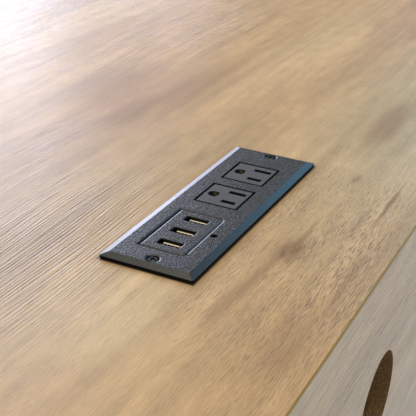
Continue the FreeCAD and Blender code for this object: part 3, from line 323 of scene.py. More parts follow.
def bend_round_knots(tree, space):
    """Parts the grain round the knots."""
    bent = space
    for knot in KNOTS:
        offset, reach = reach_from_oval(tree, space, knot, KNOT_SCALE)
        near = add(tree, "ShaderNodeMapRange", {"Value": reach, "From Min": 1.0, "From Max": 0.0,
                                                "To Min": 0.0, "To Max": knot[-1]},
                   interpolation_type="SMOOTHSTEP")
        across = add(tree, "ShaderNodeVectorMath", {0: offset, 1: (0, KNOT_SPREAD, 0)}, operation="MULTIPLY")
        pull = add(tree, "ShaderNodeVectorMath", {0: across.outputs[0], "Scale": near.outputs[0]},
                   operation="SCALE")
        bent = add(tree, "ShaderNodeVectorMath", {0: bent, 1: pull.outputs[0]}, operation="ADD").outputs[0]
    return bent


def wavy(tree, space, length, width, reach):
    """Moves the grain sideways by slow waves, because wood fibres never run dead straight."""
    steps = (1 / length, 1 / width, 1 / width)
    stretched = add(tree, "ShaderNodeVectorMath", {0: space, 1: steps}, operation="MULTIPLY")
    noise = add(tree, "ShaderNodeTexNoise", {"Vector": stretched.outputs[0], "Scale": 1.0, "Detail": 1.0})
    centred = add(tree, "ShaderNodeVectorMath", {0: noise.outputs["Color"], 1: (0.5, 0.5, 0.5)},
                  operation="SUBTRACT")
    moved = add(tree, "ShaderNodeVectorMath", {0: centred.outputs[0], 1: (0, reach, reach), 2: space},
                operation="MULTIPLY_ADD")
    return moved.outputs[0]


def grain_lines(tree, space, spacing, length, width):
    """Lines along the grain, from -1 to 1, whose spacing drifts over a length and a width."""
    steps = (0, 2 * math.pi / spacing, 2 * math.pi / spacing)
    across = add(tree, "ShaderNodeVectorMath", {0: space, 1: steps}, operation="DOT_PRODUCT")
    uneven = streaks(tree, space, length, width, high=SPACING_DRIFT)
    phase = add(tree, "ShaderNodeMath", {0: across.outputs["Value"], 1: uneven}, operation="ADD")
    return add(tree, "ShaderNodeMath", {0: phase.outputs[0]}, operation="SINE").outputs[0]


def oak_print(name, turn=(0, 0, 0), is_top=False, shade_greyness=0.0):
    """The oak print on melamine board: gives the material, its node tree, its shader and its colour."""
    oak = bpy.context.scene.desk_oak
    material, tree, shader = new_material(name)
    place = pattern_space(tree, turn)
    space = wavy(tree, place, length=250 * MM, width=60 * MM, reach=10 * MM)
    if is_top:
        space = bend_round_knots(tree, space)
        blotchy = wavy(tree, place, length=60 * MM, width=20 * MM, reach=20 * MM)
        straight = ovals(tree, place, STRAIGHT_GRAIN)
        crowded = ovals(tree, place, PORE_FIELDS)
        rosy = ovals(tree, blotchy, ROSE_PATCHES)
        greyed_tone_and_shade = ovals(tree, blotchy, GREY_PATCHES)
        pale_tone_and_light = ovals(tree, blotchy, PALE_PATCHES_AND_PAINTED_LIGHT)
    else:
        straight = streaks(tree, space, 500 * MM, 100 * MM)
        crowded = streaks(tree, space, 300 * MM, 80 * MM)
        rosy = streaks(tree, space, 400 * MM, 60 * MM, high=0.6)
        # Painted cool shade: a greyness above 0 shifts these streaks greyer, as on the rear panel and band
        greyed_tone_and_shade = streaks(tree, space, 400 * MM, 90 * MM, low=shade_greyness - 0.25, high=shade_greyness + 0.30)
        pale_tone_and_light = streaks(tree, space, 350 * MM, 70 * MM, low=-0.5, high=0.6)

    # Slow drifts of tan, rose, grey and a paler tan; one pale patch on the top is painted light
    colour = oak.tan
    for share, tint in ((rosy, oak.rose), (greyed_tone_and_shade, oak.grey), (pale_tone_and_light, oak.pale)):
        colour = add(tree, "ShaderNodeMix", {0: share, COLOUR_A: colour, COLOUR_B: tint},
                     data_type="RGBA").outputs[MIXED]

    # Growth bands, strands and mottle
    bands = streaks(tree, space, 250 * MM, 16 * MM, low=0.87, high=1.10)
    strands = streaks(tree, space, 100 * MM, 7 * MM, low=0.91, high=1.08)
    mottle = streaks(tree, space, 22 * MM, 10 * MM, low=0.92, high=1.08)
    tone = add(tree, "ShaderNodeMath", {0: bands, 1: strands}, operation="MULTIPLY").outputs[0]
    tone = add(tree, "ShaderNodeMath", {0: tone, 1: mottle}, operation="MULTIPLY").outputs[0]

    # Fine lines in the quarter-cut parts of the print, uneven in their spacing and strength
    lines = grain_lines(tree, space, oak.line_spacing, length=200 * MM, width=5 * MM)
    fading = streaks(tree, space, 20 * MM, 2.5 * MM, high=1.4)
    lines = add(tree, "ShaderNodeMath", {0: lines, 1: fading}, operation="MULTIPLY").outputs[0]
    lines = add(tree, "ShaderNodeMath", {0: lines, 1: straight}, operation="MULTIPLY").outputs[0]
    inked = add(tree, "ShaderNodeMath", {0: lines, 1: LINE_PEAK}, operation="MINIMUM").outputs[0]
    tone = add(tree, "ShaderNodeMath", {0: inked, 1: LINE_CONTRAST, 2: tone},
               operation="MULTIPLY_ADD").outputs[0]

    # Fibres: such lines, broken up, where the print is flat cut
    field = add(tree, "ShaderNodeMath", {0: crowded, 1: 1 - PORES_ELSEWHERE, 2: PORES_ELSEWHERE},
                operation="MULTIPLY_ADD").outputs[0]
    fibres = grain_lines(tree, space, oak.fibre_spacing, length=30 * MM, width=4 * MM)
    broken = streaks(tree, space, 6 * MM, 1.4 * MM, low=-0.7, high=1.3, detail=1.0)
    broken = add(tree, "ShaderNodeMath", {0: broken, 1: field}, operation="MULTIPLY").outputs[0]
    fibres = add(tree, "ShaderNodeMath", {0: fibres, 1: broken}, operation="MULTIPLY").outputs[0]
    inked = add(tree, "ShaderNodeMath", {0: fibres, 1: FIBRE_PEAK}, operation="MINIMUM").outputs[0]
    tone = add(tree, "ShaderNodeMath", {0: inked, 1: FIBRE_CONTRAST, 2: tone},
               operation="MULTIPLY_ADD").outputs[0]
    colour = add(tree, "ShaderNodeVectorMath", {0: colour, "Scale": tone}, operation="SCALE").outputs[0]

    # Short dark pores, which crowd into rows
    ticks = streaks(tree, space, oak.pore_length, oak.pore_width, low=-2.0, high=1.8, detail=1.0)
    rows = streaks(tree, space, 80 * MM, 12 * MM, low=-0.2, high=1.1)
    pores = add(tree, "ShaderNodeMath", {0: ticks, 1: rows}, operation="MULTIPLY", use_clamp=True).outputs[0]
    pores = add(tree, "ShaderNodeMath", {0: pores, 1: field}, operation="MULTIPLY").outputs[0]
    shade = add(tree, "ShaderNodeMath", {0: pores, 1: PORE_CONTRAST}, operation="MULTIPLY").outputs[0]
    colour = add(tree, "ShaderNodeMix", {0: shade, COLOUR_A: colour, COLOUR_B: oak.pore},
                 data_type="RGBA").outputs[MIXED]

    # The top's own dark streaks and knots
    if is_top:
        smears = ovals(tree, wavy(tree, place, length=40 * MM, width=12 * MM, reach=6 * MM), DARK_STREAKS)
        smears = add(tree, "ShaderNodeMath", {0: smears, 1: mottle}, operation="MULTIPLY").outputs[0]
        cores = ovals(tree, wavy(tree, place, length=12 * MM, width=4 * MM, reach=6 * MM), KNOTS)
        for share, tint in ((smears, oak.streak), (cores, oak.knot)):
            colour = add(tree, "ShaderNodeMix", {0: share, COLOUR_A: colour, COLOUR_B: tint},
                         data_type="RGBA").outputs[MIXED]
    tree.links.new(colour, shader.inputs["Base Color"])

    # The pressing plate embosses the lines, the fibres and the pores
    height = add(tree, "ShaderNodeMath", {0: lines, 1: LINE_HEIGHT}, operation="MULTIPLY").outputs[0]
    for part, share in ((fibres, FIBRE_HEIGHT), (pores, PORE_HEIGHT)):
        height = add(tree, "ShaderNodeMath", {0: part, 1: share, 2: height},
                     operation="MULTIPLY_ADD").outputs[0]
    bump = add(tree, "ShaderNodeBump", {"Height": height, "Distance": oak.relief})
    tree.links.new(bump.outputs[0], shader.inputs["Normal"])
    roughness = streaks(tree, space, 50 * MM, 3 * MM, low=0.29, high=0.39)
    tree.links.new(roughness, shader.inputs["Roughness"])
    shader.inputs["IOR"].default_value = 1.5
    return material, tree, shader, colour


def raw_chipboard(tree):
    """Sawn chipboard: brown flakes of several shades, packed without any direction."""
    flakes = streaks(tree, pattern_space(tree), 2.2 * MM, 1.1 * MM)
    return add(tree, "ShaderNodeMix", {0: flakes, COLOUR_A: linear("#5C4222"), COLOUR_B: linear("#8C6C42")},
               data_type="RGBA").outputs[MIXED]


def reach_from_faceplate(tree):
    """How far each point lies outside the faceplate's outline, in metres."""
    low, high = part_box("power_faceplate")
    middle = [(start + end) / 2 for start, end in zip(low, high)]
    half = [(end - start) / 2 for start, end in zip(low, high)]
    place = add(tree, "ShaderNodeTexCoord")
    offset = add(tree, "ShaderNodeVectorMath", {0: place.outputs["Object"], 1: middle}, operation="SUBTRACT")
    apart = add(tree, "ShaderNodeVectorMath", {0: offset.outputs[0]}, operation="ABSOLUTE")
    beyond = add(tree, "ShaderNodeVectorMath", {0: apart.outputs[0], 1: half}, operation="SUBTRACT")
    outside = add(tree, "ShaderNodeVectorMath", {0: beyond.outputs[0], 1: (0, 0, 0)}, operation="MAXIMUM")
    flat = add(tree, "ShaderNodeVectorMath", {0: outside.outputs[0], 1: (1, 1, 0)}, operation="MULTIPLY")
    return add(tree, "ShaderNodeVectorMath", {0: flat.outputs[0]}, operation="LENGTH").outputs["Value"]


def oak_top():
    """Oak-print melamine, embossed: satin, with a sheen that breaks up along fine lines and short pores.
    Painted shade and dust darken a narrow line and a wider golden band round the faceplate, and raw chipboard
    shows below and in the cut-outs."""
    material, tree, shader, colour = oak_print("oak_print_melamine_top", is_top=True)
    reach = reach_from_faceplate(tree)
    # Painted shade with dust: a soft golden shadow and a dark contact line round the faceplate's foot
    for width, strength, tint in SHADE_AND_DUST_LINES:
        shade_and_dust = add(tree, "ShaderNodeMapRange", {"Value": reach, "From Min": width,
                                                "From Max": SHADE_AND_DUST_CORE * width, "To Min": 0.0,
                                                "To Max": strength})
        colour = add(tree, "ShaderNodeMix", {0: shade_and_dust.outputs[0], COLOUR_A: colour, COLOUR_B: linear(tint)},
                     data_type="RGBA").outputs[MIXED]
    facing = add(tree, "ShaderNodeNewGeometry")
    axes = add(tree, "ShaderNodeSeparateXYZ", {0: facing.outputs["True Normal"]})
    upward = add(tree, "ShaderNodeMath", {0: axes.outputs["Z"], 1: LOOKS_UP}, operation="GREATER_THAN")
    colour = add(tree, "ShaderNodeMix", {0: upward.outputs[0], COLOUR_A: raw_chipboard(tree),
                                         COLOUR_B: colour}, data_type="RGBA")
    tree.links.new(colour.outputs[MIXED], shader.inputs["Base Color"])
    return material


def oak_rear_band():
    """Oak-print plastic band, glued on: the same satin print, drawn greyer as a painted cool shade, with an
    amber glue line at its upper arris.
    """
    oak = bpy.context.scene.desk_oak
    material, tree, shader, colour = oak_print("oak_print_edge_band_painted_shade", shade_greyness=0.45)
    place = add(tree, "ShaderNodeTexCoord")
    axes = add(tree, "ShaderNodeSeparateXYZ", {0: place.outputs["Object"]})
    arris = add(tree, "ShaderNodeMath", {0: axes.outputs["Z"], 1: CAD_TOP - GLUE_LINE},
                operation="GREATER_THAN")
    colour = add(tree, "ShaderNodeMix", {0: arris.outputs[0], COLOUR_A: colour, COLOUR_B: oak.glue},
                 data_type="RGBA")
    tree.links.new(colour.outputs[MIXED], shader.inputs["Base Color"])
    return material


def oak_rear_panel():
    """Oak-print melamine, embossed, with the grain along the desk, drawn greyer as a painted cool shade, and
    raw chipboard in the cable hole.
    """
    material, tree, shader, colour = oak_print("oak_print_melamine_rear_painted_shade", shade_greyness=0.60)
    place = add(tree, "ShaderNodeTexCoord")
    offset = add(tree, "ShaderNodeVectorMath", {0: place.outputs["Object"], 1: CABLE_HOLE["pos_m"]},
                 operation="SUBTRACT")
    flat = add(tree, "ShaderNodeVectorMath", {0: offset.outputs[0], 1: (1, 0, 1)}, operation="MULTIPLY")
    reach = add(tree, "ShaderNodeVectorMath", {0: flat.outputs[0]}, operation="LENGTH")
    margin = 0.1 * MM
    hole = CABLE_HOLE["dims"]["r_mm"] * MM + margin
    wall = add(tree, "ShaderNodeMath", {0: reach.outputs["Value"], 1: hole}, operation="LESS_THAN")
    colour = add(tree, "ShaderNodeMix", {0: wall.outputs[0], COLOUR_A: colour,
                                         COLOUR_B: raw_chipboard(tree)}, data_type="RGBA")
    tree.links.new(colour.outputs[MIXED], shader.inputs["Base Color"])
    return material


def moulded(name, light, dark, grain, depth, roughness, wall_shade=1.0, gleam=0.5):
    """Thermoplastic moulded in a spark-eroded tool: a dull, pebbled skin whose grains catch the light.
    Its colour runs lighter on the raised grains and darker in the hollows, a painted glint and painted shade.
    When the share given for upright walls is below 1, upright walls keep that share of the colour, a painted
    shade, and are rougher, and the slopes, polished to leave the tool, are smoother than the level face.
    Real grains are too fine to show, so they are drawn coarser."""
    material, tree, shader = new_material(name)
    space = pattern_space(tree)
    pebbles = streaks(tree, space, grain, grain)
    patches = streaks(tree, space, 9 * MM, 9 * MM, low=0.94, high=1.06)
    # Painted glint and shade: the raised grains take the light colour, the hollows the dark one
    colour = add(tree, "ShaderNodeMix", {0: pebbles, COLOUR_A: dark, COLOUR_B: light}, data_type="RGBA")
    bump = add(tree, "ShaderNodeBump", {"Height": pebbles, "Distance": depth})
    dull = streaks(tree, space, grain, grain, low=-0.06, high=0.06)
    if wall_shade < 1.0:
        facing = add(tree, "ShaderNodeNewGeometry")
        axes = add(tree, "ShaderNodeSeparateXYZ", {0: facing.outputs["True Normal"]})
        tilt = axes.outputs["Z"]
        level = add(tree, "ShaderNodeMapRange", {"Value": tilt, "From Min": NEARLY_LEVEL, "From Max": LEVEL,
                                                 "To Min": SLOPE_TEXTURE, "To Max": 1.0})
        tree.links.new(level.outputs[0], bump.inputs["Strength"])
        rough = add(tree, "ShaderNodeMapRange", {"Value": tilt, "From Min": UPRIGHT, "From Max": SLOPING,
                                                 "To Min": WALL_ROUGHNESS, "To Max": 0.0})
        dull = add(tree, "ShaderNodeMath", {0: dull, 1: level.outputs[0], 2: rough.outputs[0]},
                   operation="MULTIPLY_ADD").outputs[0]
        # Painted shade: upright walls keep only a share of the colour
        share = add(tree, "ShaderNodeMapRange", {"Value": tilt, "From Min": UPRIGHT, "From Max": SLOPING,
                                                 "To Min": wall_shade, "To Max": 1.0})
        patches = add(tree, "ShaderNodeMath", {0: patches, 1: share.outputs[0]},
                      operation="MULTIPLY").outputs[0]
    colour = add(tree, "ShaderNodeVectorMath", {0: colour.outputs[MIXED], "Scale": patches},
                 operation="SCALE")
    tree.links.new(colour.outputs[0], shader.inputs["Base Color"])
    tree.links.new(bump.outputs[0], shader.inputs["Normal"])
    dull = add(tree, "ShaderNodeMath", {0: dull, 1: roughness}, operation="ADD")
    tree.links.new(dull.outputs[0], shader.inputs["Roughness"])
    shader.inputs["IOR"].default_value = 1.53
    shader.inputs["Specular IOR Level"].default_value = gleam
    return material


def bare_metal(name, light, dark, length, width, roughness):
    """Bare or plated metal with fine marks from rolling and tumbling: bright, with streaks in its gloss.
    Real marks are nearer 0.05 mm wide, too fine to show, so they are drawn coarser."""
    material, tree, shader = new_material(name)
    space = pattern_space(tree)
    marks = streaks(tree, space, length, width, detail=3.0)
    colour = add(tree, "ShaderNodeMix", {0: marks, COLOUR_A: dark, COLOUR_B: light}, data_type="RGBA")
    tree.links.new(colour.outputs[MIXED], shader.inputs["Base Color"])
    swing = 0.08
    gloss = streaks(tree, space, length, width, low=roughness - swing, high=roughness + swing, detail=3.0)
    tree.links.new(gloss, shader.inputs["Roughness"])
    bump = add(tree, "ShaderNodeBump", {"Height": marks, "Distance": 0.01 * MM})
    tree.links.new(bump.outputs[0], shader.inputs["Normal"])
    shader.inputs["Metallic"].default_value = 1.0
    return material


def coated(name, light, dark, peel, roughness):
    """Painted or powder-coated steel: the film flows to a faint orange peel that softens its gloss."""
    material, tree, shader = new_material(name)
    space = pattern_space(tree)
    skin = streaks(tree, space, peel, peel, detail=1.0)
    clouds = streaks(tree, space, 40 * MM, 40 * MM)
    colour = add(tree, "ShaderNodeMix", {0: clouds, COLOUR_A: dark, COLOUR_B: light}, data_type="RGBA")
    tree.links.new(colour.outputs[MIXED], shader.inputs["Base Color"])
    bump = add(tree, "ShaderNodeBump", {"Height": skin, "Distance": 0.02 * MM})
    tree.links.new(bump.outputs[0], shader.inputs["Normal"])
    swing = 0.05
    gloss = streaks(tree, space, peel, peel, low=roughness - swing, high=roughness + swing, detail=1.0)
    tree.links.new(gloss, shader.inputs["Roughness"])
    shader.inputs["IOR"].default_value = 1.5
    return material


def pale_board(name):
    """Drawer board wrapped in a pale birch-print foil: matt, with faint long fibres."""
    material, tree, shader = new_material(name)
    space = pattern_space(tree, GRAIN_TO_REAR)
    fibres = streaks(tree, space, 60 * MM, 2 * MM, low=0.94, high=1.05, detail=3.0)
    bands = streaks(tree, space, 300 * MM, 18 * MM)
    colour = add(tree, "ShaderNodeMix", {0: bands, COLOUR_A: linear("#D3C6AE"), COLOUR_B: linear("#DED4C1")},
                 data_type="RGBA")
    colour = add(tree, "ShaderNodeVectorMath", {0: colour.outputs[MIXED], "Scale": fibres}, operation="SCALE")
    tree.links.new(colour.outputs[0], shader.inputs["Base Color"])
    bump = add(tree, "ShaderNodeBump", {"Height": fibres, "Distance": 0.1 * MM})
    tree.links.new(bump.outputs[0], shader.inputs["Normal"])
    shader.inputs["Roughness"].default_value = 0.55
    return material


class DESK_OT_top(bpy.types.Operator):
    """Finish the top in the oak print"""
    bl_idname = "desk.top"
    bl_label = "Top"

    def execute(self, context):
        finish(["top_panel"], oak_top())
        return {"FINISHED"}


class DESK_OT_edge_bands(bpy.types.Operator):
    """Finish the bands round the top's edges"""
    bl_idname = "desk.edge_bands"
    bl_label = "Edge bands"

    def execute(self, context):
        finish(["rear_edge_band"], oak_rear_band())
        finish(["front_edge_band"], oak_print("oak_print_front_band")[0])
        finish(["end_edge_bands"], oak_print("oak_print_end_bands", GRAIN_TO_REAR)[0])
        return {"FINISHED"}


class DESK_OT_panels(bpy.types.Operator):
    """Finish the panels that carry the top and the pedestal's boards"""
    bl_idname = "desk.panels"
    bl_label = "Panels"

    def execute(self, context):
        finish(["rear_panel"], oak_rear_panel())
        finish(["pedestal_bottom_panel", "kick_board"], oak_print("oak_print_melamine_pedestal")[0])
        finish(["left_end_panel", "right_end_panel", "pedestal_inner_panel"],
               oak_print("oak_print_melamine_upright", GRAIN_UPRIGHT)[0])
        return {"FINISHED"}


class DESK_OT_drawer_fronts(bpy.types.Operator):
    """Finish the drawer fronts, with the grain lying along the desk"""
    bl_idname = "desk.drawer_fronts"
    bl_label = "Drawer fronts"

    def execute(self, context):
        finish([f"{name}_drawer_front" for name in DRAWERS], oak_print("oak_print_melamine_fronts")[0])
        return {"FINISHED"}


class DESK_OT_drawer_boxes(bpy.types.Operator):
    """Finish the drawer boxes in pale board"""
    bl_idname = "desk.drawer_boxes"
    bl_label = "Drawer boxes"

    def execute(self, context):
        pieces = ("left_side", "right_side", "back", "bottom")
        finish([f"{name}_drawer_{piece}" for name in DRAWERS for piece in pieces],
               pale_board("birch_print_foil"))
        return {"FINISHED"}


class DESK_OT_handles(bpy.types.Operator):
    """Finish the handles in matt black powder coat"""
    bl_idname = "desk.handles"
    bl_label = "Handles"

    def execute(self, context):
        # Powder coat on steel: nearly black and matt, with a soft broad gleam along the bar
        finish([f"{name}_drawer_handle" for name in DRAWERS],
               coated("black_powder_coat", linear("#26272A"), linear("#1E1F21"),
                      peel=0.9 * MM, roughness=0.5))
        return {"FINISHED"}


class DESK_OT_rails(bpy.types.Operator):
    """Finish the drawer rails in white enamel and their rollers in nylon"""
    bl_idname = "desk.rails"
    bl_label = "Rails and rollers"

    def execute(self, context):
        # Enamel on rolled steel: clean white, with a clear but soft gloss
        finish(["cabinet_rails"] + [f"{name}_drawer_rails" for name in DRAWERS],
               coated("white_enamel", linear("#E6E5E0"), linear("#DAD9D3"),
                      peel=1.5 * MM, roughness=0.35))
        # Nylon, moulded and left its own colour: milky white and waxy
        finish([f"{name}_{end}_rollers" for name in DRAWERS for end in ("front", "rear")],
               moulded("natural_nylon", linear("#E9E6DA"), linear("#DCD8CA"),
                       grain=2 * MM, depth=0.01 * MM, roughness=0.4))
        return {"FINISHED"}


class DESK_OT_fittings(bpy.types.Operator):
    """Finish the cam locks, bolts, screws and feet"""
    bl_idname = "desk.fittings"
    bl_label = "Fittings"

    def execute(self, context):
        # Zinc, die cast: pale grey and dull, with a faint cloudy gleam
        finish(["cam_locks"], bare_metal("zinc_casting", linear("#C4C4C2"), linear("#9E9E9C"),
                                         length=1.2 * MM, width=1.2 * MM, roughness=0.45))
        # Steel, turned and zinc plated: bright, with fine streaks round it
        finish(["cam_bolts"] + [f"{name}_handle_screws" for name in DRAWERS],
               bare_metal("zinc_plated_steel", linear("#D2D2D0"), linear("#ABABAA"),
                          length=4 * MM, width=0.4 * MM, roughness=0.3))
        # Polyethylene, moulded: black and waxy
        finish(["glide_feet"], moulded("black_polyethylene", linear("#2C2C2D"), linear("#222223"),
                                       grain=1.5 * MM, depth=0.02 * MM, roughness=0.5))
        return {"FINISHED"}


class DESK_OT_faceplate(bpy.types.Operator):
    """Finish the faceplate, its USB insert and its screws"""
    bl_idname = "desk.faceplate"
    bl_label = "Faceplate"

    def execute(self, context):
        module = context.scene.desk_module
        # ABS, moulded in a spark-eroded tool: charcoal, with bright and dark grains side by side, which are
        # painted glints and painted shade; its upright walls are painted nearly black, as shade
        finish(["power_faceplate", "usb_insert"],
               moulded("charcoal_abs", module.charcoal, module.charcoal_hollow_shade, grain=module.spark,
                       depth=0.11 * MM, roughness=0.28, wall_shade=0.04, gleam=0.34))
        # Steel, blackened in oxide: dark grey, with a dull metal gleam on the head's slope
        finish(["faceplate_screws"], bare_metal("black_oxide_steel", linear("#5A5B5E"), linear("#3A3B3D"),
                                                length=1.5 * MM, width=0.3 * MM, roughness=0.4))
        return {"FINISHED"}


class DESK_OT_outlets(bpy.types.Operator):
    """Finish the outlet faces and the brass behind them"""
    bl_idname = "desk.outlets"
    bl_label = "Outlets"

    def execute(self, context):
        module = context.scene.desk_module
        # Nylon, moulded in a finer tool: an even grey, smoother and paler than the faceplate, with its
        # upright walls painted dark, as shade
        finish(["near_outlet_face", "far_outlet_face"],
               moulded("grey_nylon", module.outlet, linear("#424448"), grain=0.8 * MM,
                       depth=0.03 * MM, roughness=0.35, wall_shade=0.10))
        # Brass, stamped from sheet and coloured dark brown, a painted shade for its place deep in the ground
        # holes:
        # a dim brown glint there
        finish(["hot_bus_bar", "neutral_bus_bar", "ground_bus_bar"],
               bare_metal("brass_painted_dark_as_shade", linear("#4E4534"), linear("#332D22"),
                          length=5 * MM, width=0.4 * MM, roughness=0.45))
        return {"FINISHED"}


class DESK_OT_housing(bpy.types.Operator):
    """Finish the module's housing, the carrier in it and the cord's gland"""
    bl_idname = "desk.housing"
    bl_label = "Module housing"

    def execute(self, context):
        # Polycarbonate, moulded: black, with a low even gloss
        finish(["bus_bar_carrier", "module_housing"],
               moulded("black_polycarbonate", linear("#2A2B2D"), linear("#202123"),
                       grain=1.5 * MM, depth=0.01 * MM, roughness=0.45))
        # Rubber, moulded: black, and matt at every angle
        finish(["cord_gland"], moulded("black_rubber", linear("#222222"), linear("#1A1A1A"),
                                       grain=1 * MM, depth=0.02 * MM, roughness=0.7))
        return {"FINISHED"}


class DESK_OT_usb(bpy.types.Operator):
    """Finish the USB sockets, their board and the indicator"""
    bl_idname = "desk.usb"
    bl_label = "USB sockets"

    def execute(self, context):
        module = context.scene.desk_module
        # Steel, folded and nickel plated, coloured nearly black as a painted shade: dark inside a mouth,
        # where it mirrors only itself
        finish(["usb_shells"], bare_metal("nickel_plated_steel_painted_shade", linear("#2E2E30"), linear("#1C1C1E"),
                                          length=3 * MM, width=0.3 * MM, roughness=0.35))
        # Polyester, moulded: cream and smooth, the brightest thing in a mouth
        finish(["usb_tongues"], moulded("cream_polyester", module.tongue, linear("#E4D4B4"),
                                        grain=1 * MM, depth=0.004 * MM, roughness=0.35))
        # Bronze, stamped and gold plated: warm yellow and mirror bright
        finish(["usb_contacts"], bare_metal("gold_plated_bronze", linear("#C89A4A"), linear("#9C7030"),
                                            length=3 * MM, width=0.3 * MM, roughness=0.2))
        # Solder mask on glass laminate: deep green, with a wet gloss
        finish(["usb_circuit_board"], moulded("green_solder_mask", linear("#1F5A3A"), linear("#184A2F"),
                                              grain=3 * MM, depth=0.01 * MM, roughness=0.3))
        # Polycarbonate, smoked and polished: nearly black until its lamp is lit
        finish(["indicator_lens"], moulded("smoked_polycarbonate", linear("#26272A"), linear("#18191B"),
                                           grain=1 * MM, depth=0.002 * MM, roughness=0.15))
        return {"FINISHED"}


def aim(item, place, look, roll=0.0):
    """Stands an object at a place, looking along a direction, turned about it by a roll."""
    forward = Vector(look).normalized()
    level = forward.cross(Vector((0, 0, 1))).normalized()
    right = Matrix.Rotation(-roll, 3, forward) @ level
    up = right.cross(forward)
    turn = Matrix((right, up, -forward)).transposed()
    item.matrix_world = Matrix.Translation(Vector(place)) @ turn.to_4x4()


def softbox(name, place, size, power, colour):
    """A soft rectangular light that faces the top near the power module."""
    light = bpy.data.lights.new(name, "AREA")
    light.shape = "RECTANGLE"
    light.size, light.size_y = size
    light.energy = power
    light.color = linear(colour)[:3]
    item = bpy.data.objects.new(name, light)
    bpy.context.scene.collection.objects.link(item)
    item.visible_camera = False
    aim(item, place, Vector(LIGHT_TARGET) - Vector(place))


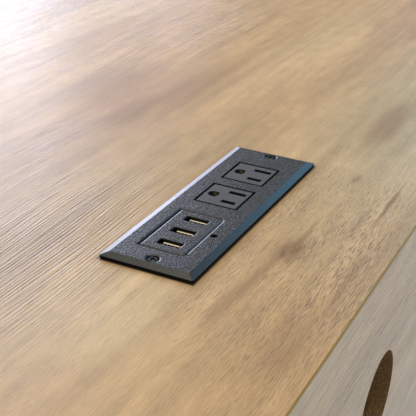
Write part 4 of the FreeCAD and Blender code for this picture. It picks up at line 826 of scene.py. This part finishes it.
class DESK_OT_stage(bpy.types.Operator):
    """Set up the floor, the lights, the surroundings and the camera"""
    bl_idname = "desk.stage"
    bl_label = "Stage"

    def execute(self, context):
        scene = context.scene
        stage = scene.desk_stage
        scene.view_settings.view_transform = "Standard"
        self.build_floor(stage)
        self.build_backdrop(stage)
        self.build_world(scene, stage)
        self.build_lights()
        camera = bpy.data.objects.new("camera", bpy.data.cameras.new("camera"))
        scene.collection.objects.link(camera)
        camera.data.sensor_fit = "HORIZONTAL"
        camera.data.sensor_width = 36
        camera.data.lens = stage.camera_lens
        camera.data.clip_start = 0.01
        aim(camera, stage.camera_place, stage.camera_look, stage.camera_roll)
        scene.camera = camera
        return {"FINISHED"}

    def build_floor(self, stage):
        """A plain pale floor, far wider than the desk."""
        half = 12.0
        mesh = bpy.data.meshes.new("studio_floor")
        mesh.from_pydata([(-half, -half, 0), (half, -half, 0), (half, half, 0), (-half, half, 0)], [],
                         [(0, 1, 2, 3)])
        floor = bpy.data.objects.new("studio_floor", mesh)
        bpy.context.scene.collection.objects.link(floor)
        # Vinyl sheet, rolled with a matt skin: pale and even, with hardly any gleam
        material, _, shader = new_material("matt_vinyl_sheet")
        shader.inputs["Base Color"].default_value = stage.floor
        shader.inputs["Roughness"].default_value = 0.8
        mesh.materials.append(material)

    def build_backdrop(self, stage):
        """A low paper wall round the floor, pale to the eye and in reflections, that lights nothing."""
        radius, height, steps = 11.5, 3.0, 64
        turns = [2 * math.pi * step / steps for step in range(steps)]
        ring = [(radius * math.cos(turn), radius * math.sin(turn)) for turn in turns]
        corners = [(x, y, z) for z in (0.0, height) for x, y in ring]
        faces = [(step, (step + 1) % steps, steps + (step + 1) % steps, steps + step)
                 for step in range(steps)]
        mesh = bpy.data.meshes.new("studio_backdrop")
        mesh.from_pydata(corners, [], faces)
        backdrop = bpy.data.objects.new("studio_backdrop", mesh)
        bpy.context.scene.collection.objects.link(backdrop)
        # Paper, uncoated: pale, and matt at every angle
        material, tree, shader = new_material("uncoated_paper")
        path = add(tree, "ShaderNodeLightPath")
        seen = path.outputs["Is Camera Ray"]
        for kind in ("Is Glossy Ray", "Is Transmission Ray"):
            seen = add(tree, "ShaderNodeMath", {0: seen, 1: path.outputs[kind]},
                       operation="MAXIMUM").outputs[0]
        brightness = 0.35
        glow = add(tree, "ShaderNodeMath", {0: seen, 1: brightness}, operation="MULTIPLY")
        tree.links.new(glow.outputs[0], shader.inputs["Emission Strength"])
        shader.inputs["Emission Color"].default_value = stage.sky
        shader.inputs["Base Color"].default_value = stage.floor
        shader.inputs["Roughness"].default_value = 0.9
        mesh.materials.append(material)

    def build_world(self, scene, stage):
        """Even, weak light from all round."""
        world = bpy.data.worlds.new("studio")
        scene.world = world
        world.use_nodes = True
        background = world.node_tree.nodes["Background"]
        background.inputs["Color"].default_value = stage.sky
        background.inputs["Strength"].default_value = 0.30

    def build_lights(self):
        """A large light and a low one from the left front, a broad one from straight above, one for the
        rear panel, and weak ones from the left and the ceiling that tint the faceplate's bevels."""
        softbox("window", place=(-1.87, -2.10, 1.62), size=(1.7, 2.5), power=55, colour="#E0E8FF")
        softbox("low_window", place=(-2.49, -1.40, 1.00), size=(0.8, 0.6), power=6, colour="#DCDFFF")
        overhead = bpy.data.lights.new("overhead", "SUN")
        overhead.energy = 2.0
        overhead.angle = math.radians(60)
        overhead.color = linear("#FFF5E2")[:3]
        bpy.context.scene.collection.objects.link(bpy.data.objects.new("overhead", overhead))
        softbox("side", place=(-2.65, 0.25, 2.16), size=(1.0, 0.8), power=5.8, colour="#79CFFF")
        softbox("rear", place=(1.2, 2.6, 1.4), size=(2.0, 1.5), power=8, colour="#A8C6FF")
        softbox("ceiling", place=(-0.84, -0.74, 2.93), size=(1.2, 1.2), power=1.6, colour="#E6E088")


class DESK_PT_panel(bpy.types.Panel):
    """The desk's pieces and stage"""
    bl_idname = "DESK_PT_panel"
    bl_label = "Office desk"
    bl_space_type = "VIEW_3D"
    bl_region_type = "UI"
    bl_category = "Desk"

    def draw(self, context):
        for operator in OPERATORS:
            self.layout.operator(operator.bl_idname)
        for name, group in GROUPS.items():
            for setting in group.__annotations__:
                self.layout.prop(getattr(context.scene, name), setting)


OPERATORS = (DESK_OT_top, DESK_OT_edge_bands, DESK_OT_panels, DESK_OT_drawer_fronts, DESK_OT_drawer_boxes,
             DESK_OT_handles, DESK_OT_rails, DESK_OT_fittings, DESK_OT_faceplate, DESK_OT_outlets,
             DESK_OT_housing, DESK_OT_usb, DESK_OT_stage)
GROUPS = {"desk_oak": DeskOak, "desk_module": DeskModule, "desk_stage": DeskStage}


def register():
    """Adds the desk's settings, operators and panel."""
    for group in GROUPS.values():
        bpy.utils.register_class(group)
    for name, group in GROUPS.items():
        setattr(bpy.types.Scene, name, PointerProperty(type=group))
    for operator in OPERATORS:
        bpy.utils.register_class(operator)
    bpy.utils.register_class(DESK_PT_panel)


def unregister():
    """Takes them away again."""
    bpy.utils.unregister_class(DESK_PT_panel)
    for operator in reversed(OPERATORS):
        bpy.utils.unregister_class(operator)
    for name, group in GROUPS.items():
        delattr(bpy.types.Scene, name)
        bpy.utils.unregister_class(group)


def main():
    """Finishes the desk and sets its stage."""
    register()
    bpy.ops.desk.top()
    bpy.ops.desk.edge_bands()
    bpy.ops.desk.panels()
    bpy.ops.desk.drawer_fronts()
    bpy.ops.desk.drawer_boxes()
    bpy.ops.desk.handles()
    bpy.ops.desk.rails()
    bpy.ops.desk.fittings()
    bpy.ops.desk.faceplate()
    bpy.ops.desk.outlets()
    bpy.ops.desk.housing()
    bpy.ops.desk.usb()
    bpy.ops.desk.stage()


if __name__ == "__main__":
    main()
